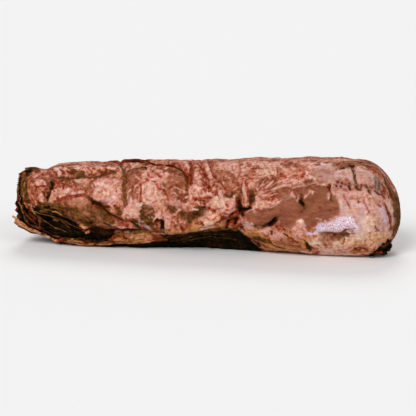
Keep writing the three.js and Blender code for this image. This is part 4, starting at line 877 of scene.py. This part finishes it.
def painted(along, around, strokes):
    """How much of each tissue shows at places on the skin."""
    fine = wander(along, around, *FINE_WANDER)
    broad = wander(*fine, *BROAD_WANDER)
    tissues = {name: np.zeros(len(along)) for name in TISSUES}
    tissues["lean"] += 1
    for name, width, tenths, path in strokes:
        soft = np.clip(1.1 * width, *SOFTNESS)
        places = fine if width < WIDE else broad
        near, distance, *_ = nearest(path, *places, width + soft)
        shown = np.zeros(len(along))
        shown[near] = tenths / 10 * smooth((width + soft / 2 - distance) / soft)
        cover(tissues, name, shown)
    return tissues


def paint_relief(tissues, along, around):
    """Lays on each ridge, and in each groove and pit, the tissue painted there; down the grooves and their
    edges and in the pits this darkening is partly painted shade.
    """
    along, around = wander(along, around, *LINE_WANDER)
    for name, _, width, path in RIDGES:
        if name == "plain":
            continue
        near, distance, *_ = nearest(path, along, around, 2 * width)
        strength, reach = RIDGE_PAINT
        shown = np.zeros(len(along))
        shown[near] = strength * bell(distance / (reach * width))
        cover(tissues, name, shown)
    for name, _, width, _, path in GROOVES:
        near, distance, _, share = nearest(path, along, around, 2 * width)
        for tissue, (strength, reach) in ((BORDERS[name], BORDER_PAINT), (name, GROOVE_PAINT)):
            shown = np.zeros(len(along))
            shown[near] = strength * bell(distance / (reach * width)) * faded(share, 6, 0.3)
            cover(tissues, tissue, shown)
    for middle, angle in PITS:
        strength, reach = PIT_PAINT
        away = np.hypot(along - middle, round_from(angle, around))
        cover(tissues, "rust", strength * bell(away / reach))


def moulding(tissues, along, around):
    """The fine lumps and wrinkles of the tissues that show, in mm."""
    flat = unrolled(along, around)
    total = np.zeros(len(along))
    for i, (name, (rise, (length, width), *_)) in enumerate(TISSUES.items()):
        shown = tissues[name] > CLEAREST
        seed = i + 2 if i else 0
        total[shown] += tissues[name][shown] * rise * swells(flat[shown], (length, width, 1), seed)
    return total


def finish_piece(name, mesh, tissues):
    """Makes an object of a bmesh, with each tissue's share and the roughness kept at its vertices."""
    data = bpy.data.meshes.new(name)
    mesh.to_mesh(data)
    mesh.free()
    data.shade_smooth()
    rough = sum(tissues[tissue] * roughness for tissue, (_, _, roughness, *_) in TISSUES.items())
    for attribute, values in {**tissues, "roughness": rough}.items():
        layer = data.attributes.new(attribute, "FLOAT", "POINT")
        layer.data.foreach_set("value", values.astype(np.float32))
    piece = bpy.data.objects.new(name, data)
    bpy.context.scene.collection.objects.link(piece)
    data.materials.append(raw_meat)
    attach(piece, "root")
    return piece


# Its finish: one material for all the meat, which mixes the tissues by what is kept at the
# vertices, breaks their edges up with fine noise, and gives each its own mottle or grain.
raw_meat = bpy.data.materials.new("raw meat")
raw_meat.use_nodes = True
tree = raw_meat.node_tree
shader = tree.nodes["Principled BSDF"]


def node(kind, inputs=None, output=0, **settings):
    """A node's output; its inputs are set to values or linked to the outputs of other nodes."""
    made = tree.nodes.new(kind)
    for key, value in settings.items():
        setattr(made, key, value)
    for key, value in (inputs or {}).items():
        if isinstance(value, bpy.types.NodeSocket):
            tree.links.new(value, made.inputs[key])
        else:
            made.inputs[key].default_value = value
    return made.outputs[output]


on_meat = node("ShaderNodeTexCoord", output="Object")


def noise_texture(scale, detail, roughness=0.5, distortion=0.0, drawn_out=1.0, output="Fac"):
    """A noise on the meat's own coordinates, drawn out along the meat where drawn_out is under 1."""
    places = on_meat
    if drawn_out < 1:
        places = node("ShaderNodeMapping", {"Vector": on_meat, "Scale": (drawn_out, 1, 1)})
    return node("ShaderNodeTexNoise", {"Vector": places, "Scale": scale, "Detail": detail,
                                       "Roughness": roughness, "Distortion": distortion}, output)


def sums(operation, first, second, third=0.0):
    return node("ShaderNodeMath", {0: first, 1: second, 2: third}, operation=operation)


def colour_sums(operation, inputs):
    return node("ShaderNodeVectorMath", inputs, operation=operation)


mottle = noise_texture(250, 3, 0.65, 0.5)
flesh = noise_texture(300, 3, 0.6, drawn_out=0.4)
grain = noise_texture(560, 4, 0.65, drawn_out=0.14)
crinkle = noise_texture(420, 4, 0.75, 2.0)
blotches = noise_texture(70, 2)
lines = noise_texture(130, 2, 0.6, 1.2)
tints = noise_texture(150, 2, output="Color")
patches = noise_texture(260, 4, 0.7, output="Color")

# Thin red veins run through the fat, where a noise passes its middle value.
off_line = sums("ABSOLUTE", sums("SUBTRACT", lines, 0.5), 0.0)
vein = node("ShaderNodeMapRange", {"Value": off_line, "From Max": 0.016, "To Min": 0.1, "To Max": 0.0},
            interpolation_type="SMOOTHSTEP")
blotchy = sums("MULTIPLY_ADD", blotches, 0.5, sums("MULTIPLY_ADD", mottle, 0.75, -0.125))
textures = {
    "mottle": mottle,
    "crinkle": crinkle,
    "flesh": sums("MULTIPLY_ADD", blotches, 0.4, sums("SUBTRACT", flesh, 0.2)),
    "marbling": sums("SUBTRACT", blotchy, vein),
    "smear": sums("MULTIPLY_ADD", grain, 0.36, sums("MULTIPLY", blotchy, 0.64)),
}
STOPS = (0.37, 0.46, 0.53, 0.65)  # where in a texture's range each of a tissue's colours lies


def linear(colour):
    """A colour given as it looks, in the linear values that a material takes."""
    return [((c / 255 + 0.055) / 1.055) ** 2.4 if c > 10 else c / 255 / 12.92
            for c in bytes.fromhex(colour)] + [1]


def tissue_colour(texture, colours):
    ramp = tree.nodes.new("ShaderNodeValToRGB")
    tree.links.new(textures[texture], ramp.inputs["Fac"])
    first, second, third, fourth = map(linear, colours.split())
    stops = ramp.color_ramp.elements
    stops[0].position, stops[1].position = STOPS[0], STOPS[3]
    stops[0].color, stops[1].color = first, fourth
    stops.new(STOPS[1]).color = second
    stops.new(STOPS[2]).color = third
    return ramp.outputs["Color"]


# Each tissue counts by its share times a noise, raised to a power, so that where two meet they
# break up into specks of one in the other instead of blending. Neighbours in the list count where
# the same noise is high and where it is low.
SPECKS = ((1.7, 0.15), (-1.7, 1.85))  # slope and start of the even and the odd tissues' noise
SHARPNESS = 1.6  # the power
channels = tree.nodes.new("ShaderNodeSeparateColor")
tree.links.new(patches, channels.inputs["Color"])
weight_sum = 0.0
colour_sum = (0, 0, 0)
for i, (name, (*_, texture, colours)) in enumerate(TISSUES.items()):
    speck = sums("MULTIPLY_ADD", channels.outputs[i // 2 % 3], *SPECKS[i % 2])
    share = node("ShaderNodeAttribute", output="Fac", attribute_name=name)
    weight = sums("POWER", sums("MAXIMUM", sums("MULTIPLY", share, speck), 0.0), SHARPNESS)
    weight_sum = sums("ADD", weight, weight_sum)
    scaled = colour_sums("SCALE", {0: tissue_colour(texture, colours), "Scale": weight})
    colour_sum = colour_sums("ADD", {0: scaled, 1: colour_sum})
ABOVE_ZERO = 1e-6  # keeps the division safe
inverse = sums("DIVIDE", 1.0, sums("MAXIMUM", weight_sum, ABOVE_ZERO))
mixed = colour_sums("SCALE", {0: colour_sum, "Scale": inverse})

# The same tissue is rosier here and creamier there.
tint = colour_sums("MULTIPLY_ADD", {0: tints, 1: (0.35, 0.35, 0.35), 2: (0.825, 0.825, 0.815)})
colour = colour_sums("MULTIPLY", {0: mixed, 1: tint})
height = sums("MULTIPLY_ADD", mottle, 1.3, sums("MULTIPLY", grain, 0.6))
bump = node("ShaderNodeBump", {"Height": height, "Strength": 0.5, "Distance": 0.0009})
tree.links.new(colour, shader.inputs["Base Color"])
rough = node("ShaderNodeAttribute", output="Fac", attribute_name="roughness")
tree.links.new(rough, shader.inputs["Roughness"])
tree.links.new(bump, shader.inputs["Normal"])
shader.inputs["Specular IOR Level"].default_value = 0.04
shader.inputs["Subsurface Weight"].default_value = 0.05
shader.inputs["Subsurface Radius"].default_value = (0.002, 0.0008, 0.0005)
shader.inputs["Subsurface Scale"].default_value = 1

tissues = painted(along, around, STROKES)
paint_relief(tissues, along, around)
points = skin(along, around, full=full, detail=moulding(tissues, along, around))
for vertex, point in zip(core.verts, points):
    vertex.co = point
meat = finish_piece("meat", core, tissues)
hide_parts("tenderloin")


# The thin tail, folded under the left end and lying along the lower front edge: a strap of dried
# membrane and fat, streaked lengthways, whose edge stands off the hollow above it. It is modelled
# from a flat grid laid on the meat and given its thickness.
TUCKED_SPAN = (9, 178)  # from where to where along the meat
TUCKED_EDGE = (  # along, and the degrees around at which the strap's front edge lies there
    (9, 14, 20, 30, 42, 52, 62, 90, 100, 110, 118, 160, 170, 178),
    (-26, -32, -40, -48, -52, -51, -44, -42, -45, -42, -33, -31, -37, -50),
)
TUCKED_FAR_SIDE = (-152, -104)  # degrees around of its edge under the meat, at the tip and further on
TUCKED_LIFT = (4.5, 0.8)  # mm off the skin, at the tip and at the other end
TUCKED_STROKES = listed("""
olive 200 10 80,-60 90,-60
rust 20 6 20,-110 90,-104 180,-100
dark 200 4 80,-60 90,-60 | 12 10 30,-84 70,-74 120,-66 180,-64
tan 2.4 10 9,-26 14,-32 20,-40 | 4 10 7,-33 14,-41 | 2.6 10 10,-33 18,-41 28,-49 40,-54 52,-54
rust 2.4 9 10,-42 20,-53 32,-60 48,-62
tan 1 10 10,-47 20,-58 32,-65 46,-66
dark 1.1 9 15,-43 26,-54 40,-59 60,-58 | 0.5 8 11,-37 20,-45 32,-52 46,-55
rust 0.7 7 9,-39 16,-46 26,-52
cream 0.6 7 12,-33 20,-41 30,-48 40,-52
rust 1.4 9 30,-70 46,-70 60,-66 | 4.5 10 54,-52 70,-49 91,-48
tan 2.2 10 60,-54 70,-52.5 80,-54 90,-52 | 1.6 9 64,-47 72,-46 79,-47
dark 0.8 8 66,-50 74,-49 84,-51
cream 0.7 5 68,-54 75,-53
dark 3 8 93,-46 104,-44 112,-40
rust 2.4 10 94,-55 106,-52 114,-48
tan 1.4 9 96,-53 104,-51 113,-49 | 0.8 7 100,-47 109,-45
rust 6.5 9 117,-40 130,-41 144,-40 164,-38
tan 5 7 133,-40 157,-38 | 3 6 119,-42 128,-43 | 2.2 9 119,-41 124,-40 128,-42
tan 2.6 10 134,-41 140,-38 147,-39.5 157,-37 | 1.6 9 137,-45 144,-44.5 152,-43
film 3 3.5 136,-40 156,-38
cream 0.9 6 135,-39 137,-37 | 1.1 6 141,-41 144,-39.5 | 0.8 6 148,-37.5 150.5,-39 | 0.9 5 153,-39.5 156,-38
cream 0.8 5 120,-40 122,-41.5
tan 1.2 9 118,-48 128,-49.5 140,-49 154,-47 166,-44
rust 0.8 7 132,-38 134,-41.5 133,-45 | 0.6 7 139,-36 140,-39 137.5,-42 | 0.6 7 146,-42 149.5,-41 151,-42.5
rust 0.5 6 144.5,-37 146.5,-39.5 | 0.5 6 151.5,-35.5 152,-38
dark 0.9 7 129,-35 131.5,-39 129.5,-44 | 0.7 6 119,-44.5 127,-45.5 136,-47
rust 3 9 162,-42 174,-44
dark 3 9 150,-56 166,-54 178,-50
""")
WRINKLES = (14, 2.2, 1)  # their size along, across and through a sheet, in mm
WRINKLE_SEED = 31
BODY_HEIGHT = 0.05  # metres up to the middle of the meat


def ripple(share, waves, phase):
    """A sine that runs through so many waves as the share goes from 0 to 1."""
    return np.sin(2 * pi * waves * share + phase)


def mix(first, second, share):
    return first + (second - first) * share


def laid_sheet(name, place, strokes, steps, thickness, follow=1.0, detail=0.0):
    """A thin piece of membrane laid on the meat. place gives along, around, lift and reach for
    each share along and across the sheet, and thickness and the wrinkles' detail are in mm."""
    mesh = bmesh.new()
    bmesh.ops.create_grid(mesh, x_segments=steps[0], y_segments=steps[1], size=0.5)
    u, v = np.array([vertex.co for vertex in mesh.verts])[:, :2].T + 0.5
    along, around, lift, reach = place(u, v)
    tissues = painted(along, around, strokes)
    wrinkled = detail * swells(unrolled(along, around), WRINKLES, WRINKLE_SEED)
    lift = lift + moulding(tissues, along, around) + wrinkled
    points = skin(along, around, lift, -reach, follow=follow)
    for vertex, point in zip(mesh.verts, points):
        vertex.co = point
    bmesh.ops.recalc_face_normals(mesh, faces=mesh.faces)
    middle = Vector((points[:, 0].mean(), 0, BODY_HEIGHT))
    if sum(face.normal.dot(face.calc_center_median() - middle) for face in mesh.faces) < 0:
        bmesh.ops.reverse_faces(mesh, faces=mesh.faces)
    piece = finish_piece(name, mesh, tissues)
    thicken = piece.modifiers.new("thickness", "SOLIDIFY")
    thicken.thickness = thickness * MM
    thicken.offset = -1


def tucked_place(u, v):
    along = mix(*TUCKED_SPAN, u)
    edge = np.interp(along, *TUCKED_EDGE)
    edge += 1.2 * ripple(u, 3.3, 0.4) + ripple(u, 7.1, 1.7) + ripple(u, 19, 0.3) * ripple(u, 11, 2)
    far_side = mix(*TUCKED_FAR_SIDE, np.minimum(1, 7 * u) ** 0.6)
    tip = (1 - np.minimum(1, 9 * u)) ** 2
    lift = 2.5 * v * (1 - u) + mix(*TUCKED_LIFT, u) * (0.65 + 0.35 * v) - 2 * (1 - v)
    teeth = 1.6 * tip * ripple(v, 7, 0.4)
    return along, mix(far_side, edge, v), lift, 6 * tip * (0.4 + 0.6 * v**2) + teeth


laid_sheet("tucked_tail", tucked_place, TUCKED_STROKES, steps=(300, 70), thickness=2.4, detail=0.8)

# The dried rim of the membrane that wraps the tail end: a thin band that stands off the end face,
# torn into teeth and curling in. It is made as the strap is.
RIM_SPAN = (176, -60)  # degrees around, from the back over the top to the lower front
RIM_WIDTH = (7, 13)  # mm along the meat, from the torn edge to where the rim leaves the skin
RIM_REACH = (  # degrees around, and how far the rim stands off the end there, in mm
    (-60, -48, -38, -30, -22, -12, -4, 4, 20, 44, 60, 84, 100, 176),
    (1, 3.5, 5, 5, 4, 2.5, 1, 0.5, 1, 2, 3.4, 3, 2, 2),
)
RIM_STROKES = listed("""
dark 200 10 8,60 12,60
olive 2.4 9 13,60 13,40 13,14
rust 0.8 7 7,120 7,60 7,20 7,-2
tan 0.7 9 6.5,96 7,84 6.5,74 | 0.7 9 6.5,62 7,54 | 0.7 9 6.5,38 7,28 | 0.5 6 7,18 9,8 10,2
olive 1.6 8 10,92 10,76
rust 1.4 8 10,66 10,50
blood 1.2 5 7,-4 8,-14 8,-20
dark 1.4 9 9,-6 10,-20
rust 1 5 8,-26 9,-36
tan 0.6 7 10,0 12,-10 13,-20
""")


def rim_place(u, v):
    edge = 1 - v
    around = mix(*RIM_SPAN, u)
    tooth = 0.9 * ripple(u, 5.3, 0.6) + 0.8 * ripple(u, 14.4, 2.1)
    tooth += 1.1 * ripple(u, 31, 0.2) * ripple(u, 19, 1)
    curl = -2 + 1.6 * ripple(u, 4.1, 1.2)
    lift = edge * (1.4 + curl * edge) - 2.0 * v + 1.6
    ends = np.minimum(1, np.minimum(12 * u, 20 * (1 - u)))
    return mix(*RIM_WIDTH, v), around, lift, edge * (np.interp(around, *RIM_REACH) + tooth) * ends


laid_sheet("tail_rim", rim_place, RIM_STROKES, steps=(420, 14), thickness=1.2, detail=0.5)

# The dried ribbon of membrane that lies along the upper front edge, red where it is thin. It runs
# along a path on the skin, stands up in the middle and lies flat at both ends.
RIBBON_PATH = [(98, 84), (108, 86), (118, 87), (128, 88), (137, 86), (146, 80), (155, 73), (166, 70),
               (177, 67), (187, 62), (194, 55), (199, 48), (203, 38)]
RIBBON_WIDTHS = ((0, 0.15, 0.3, 0.4, 0.55, 1), (3, 5.0, 5.4, 4.6, 3.8, 3.2))  # share of the length; mm
RIBBON_LIFTS = ((0, 0.15, 0.3, 0.42, 0.55, 1), (1.2, 2.6, 3.4, 2.6, 1.2, 0.6))
RIBBON_STROKES = listed("""
rust 200 10 140,80 150,80
blood 8 9 96,86 108,86 121,86
tan 0.7 6 101,86 112,87 121,88
dark 6 6 128,88 134,87 141,84
rust 1 8 122,88 134,87 142,83
dark 1.5 8.5 146,80 155,73 166,70 177,67 187,62 194,55
""")


def ribbon(name, path, widths, lifts, strokes, thickness, follow, twist):
    """A strand or ribbon of membrane that follows a path on the skin, tapering to its ends. widths
    and lifts are shares of its length, and how wide and how high off the skin it is there, in mm."""
    middle, line = curve(path, 6)
    steps = np.linspace(0, 1, len(line))

    def place(u, v):
        x = np.interp(u, steps, line[:, 0])
        y = np.interp(u, steps, line[:, 1])
        taper = np.sin(pi * np.clip(u, 0.03, 0.97)) ** 0.5
        uneven = 1 + 0.25 * ripple(u, 3.1, 0.5) + 0.15 * ripple(u, 7.3, 1)
        across = (v - 0.5) * np.interp(u, *widths) * taper * uneven
        over = np.interp(u, *lifts) + twist * ripple(v, 0.5, 0) * ripple(u, 2.3, 0.8)
        return x, middle + (y + across) / ARC, over, 0 * u

    laid_sheet(name, place, strokes, (3 * len(line), 6), thickness, follow)


ribbon("top_ribbon", RIBBON_PATH, RIBBON_WIDTHS, RIBBON_LIFTS, RIBBON_STROKES,
       thickness=3.0, follow=0.5, twist=0.5)

# The strands of dried membrane that hang across the hollow over the tucked tail, each the path and
# the width in mm. They are made as the ribbon is, and sag only half as deep as the hollow.
STRANDS = [
    ([(26, -9), (34, -13), (44, -14), (52, -17), (58, -21), (63, -25), (71, -27), (80, -29)], 0.9),
    ([(44, -14), (49, -20), (56, -25), (66, -31)], 0.6),
    ([(30, -22), (38, -30), (50, -35), (64, -38)], 0.6),
]
STRAND_LIFTS = ((0, 1), (0.5, 0.5))
STRAND_STROKES = listed("""
olive 200 10 50,-20 60,-20
tan 200 2.2 50,-20 60,-20
""")
for i, (path, width) in enumerate(STRANDS):
    ribbon(f"hollow_strand_{i + 1}", path, ((0, 1), (width, width)), STRAND_LIFTS, STRAND_STROKES,
           thickness=0.7, follow=0.55, twist=0.4)

# The dark scrap of membrane that hangs at the head's lower corner, with one torn spike. It is made
# as the strap is.
SCRAP_SPAN = (398, 419)  # from where to where along the meat
SCRAP_LOWER, SCRAP_UPPER = (-60, -73), (-57, -43)  # degrees around of its edges, at the span's two ends
SPIKE = 0.62  # the share of the span at which it sticks out
SCRAP_STROKES = listed("""
dark 200 10 395,-50 400,-50
rust 1.6 9 404,-53 408,-54
brown 1.2 4 412,-46 419,-47
blood 0.9 7 405,-53 407,-53
olive 1.6 6 409,-60 416,-62
brown 2 5 411,-76 415,-82
""")


def scrap_place(u, v):
    ragged = 1.2 * u * ripple(v, 2.6, 0.3) + 0.8 * u * ripple(v, 6, 1)
    spike = bell((u - SPIKE) / 0.07) * (1 - v) ** 2
    lower = mix(*SCRAP_LOWER, u) + 2.5 * ripple(u, 3.2, 0.4) - 9 * spike
    upper = mix(*SCRAP_UPPER, np.minimum(1, 1.5 * u)) + 1.6 * ripple(u, 4.3, 1)
    lift = 1.4 + 0.9 * ripple(u, 2.2, 1) * (1 - v) + 1.2 * np.sin(pi * v) + 2.5 * spike
    return mix(*SCRAP_SPAN, u) + ragged, mix(lower, upper, v), lift, -3 * spike


laid_sheet("head_scrap", scrap_place, SCRAP_STROKES, steps=(60, 40), thickness=1.6, detail=0.8)

# The floor: a wide plain sheet of pale grey under the meat.
FLOOR_HALF = 4  # metres
FLOOR_COLOUR = (0.88, 0.88, 0.88, 1)
floor_mesh = bmesh.new()
bmesh.ops.create_grid(floor_mesh, x_segments=1, y_segments=1, size=FLOOR_HALF)
floor_data = bpy.data.meshes.new("floor")
floor_mesh.to_mesh(floor_data)
floor_mesh.free()
floor = bpy.data.objects.new("floor", floor_data)
bpy.context.scene.collection.objects.link(floor)
pale = bpy.data.materials.new("pale floor")
pale.use_nodes = True
pale.node_tree.nodes["Principled BSDF"].inputs["Base Color"].default_value = FLOOR_COLOUR
pale.node_tree.nodes["Principled BSDF"].inputs["Roughness"].default_value = 0.8
floor_data.materials.append(pale)

# The light: three broad suns and an even white studio round them.
SUN_SPREAD = 28  # degrees, which keeps the shadows soft
STUDIO_STRENGTH = 0.36


def soft_sun(name, azimuth, elevation, strength):
    """A broad even light from a direction: degrees round from the front, and above the floor."""
    light = bpy.data.lights.new(name, "SUN")
    light.energy = strength
    light.angle = radians(SUN_SPREAD)
    lamp = bpy.data.objects.new(name, light)
    lamp.rotation_euler = (radians(90 - elevation), 0, radians(azimuth))
    bpy.context.scene.collection.objects.link(lamp)


soft_sun("key", -20, 38, 1.9)
soft_sun("fill", 45, 30, 0.5)
soft_sun("back", 190, 45, 0.9)

world = bpy.data.worlds.new("studio")
bpy.context.scene.world = world
world.use_nodes = True
world.node_tree.nodes["Background"].inputs["Color"].default_value = (1, 1, 1, 1)
world.node_tree.nodes["Background"].inputs["Strength"].default_value = STUDIO_STRENGTH
bpy.context.scene.view_settings.view_transform = "Standard"

# The camera: a little above the meat and round to the side of its tail.
AZIMUTH, ELEVATION = radians(10), radians(12)
DISTANCE = 1.9  # metres from the point it is aimed at
VIEW_WIDTH = 0.4634  # metres across the picture there
AIM = Vector((0.0011, 0, 0.0432))
SENSOR = 36  # mm
towards_camera = Vector((sin(AZIMUTH) * cos(ELEVATION), -cos(AZIMUTH) * cos(ELEVATION), sin(ELEVATION)))
lens = bpy.data.cameras.new("camera")
lens.sensor_width = SENSOR
lens.lens = SENSOR * DISTANCE / VIEW_WIDTH
camera = bpy.data.objects.new("camera", lens)
camera.location = AIM + towards_camera * DISTANCE
camera.rotation_euler = (-towards_camera).to_track_quat("-Z", "Y").to_euler()
bpy.context.scene.collection.objects.link(camera)
bpy.context.scene.camera = camera
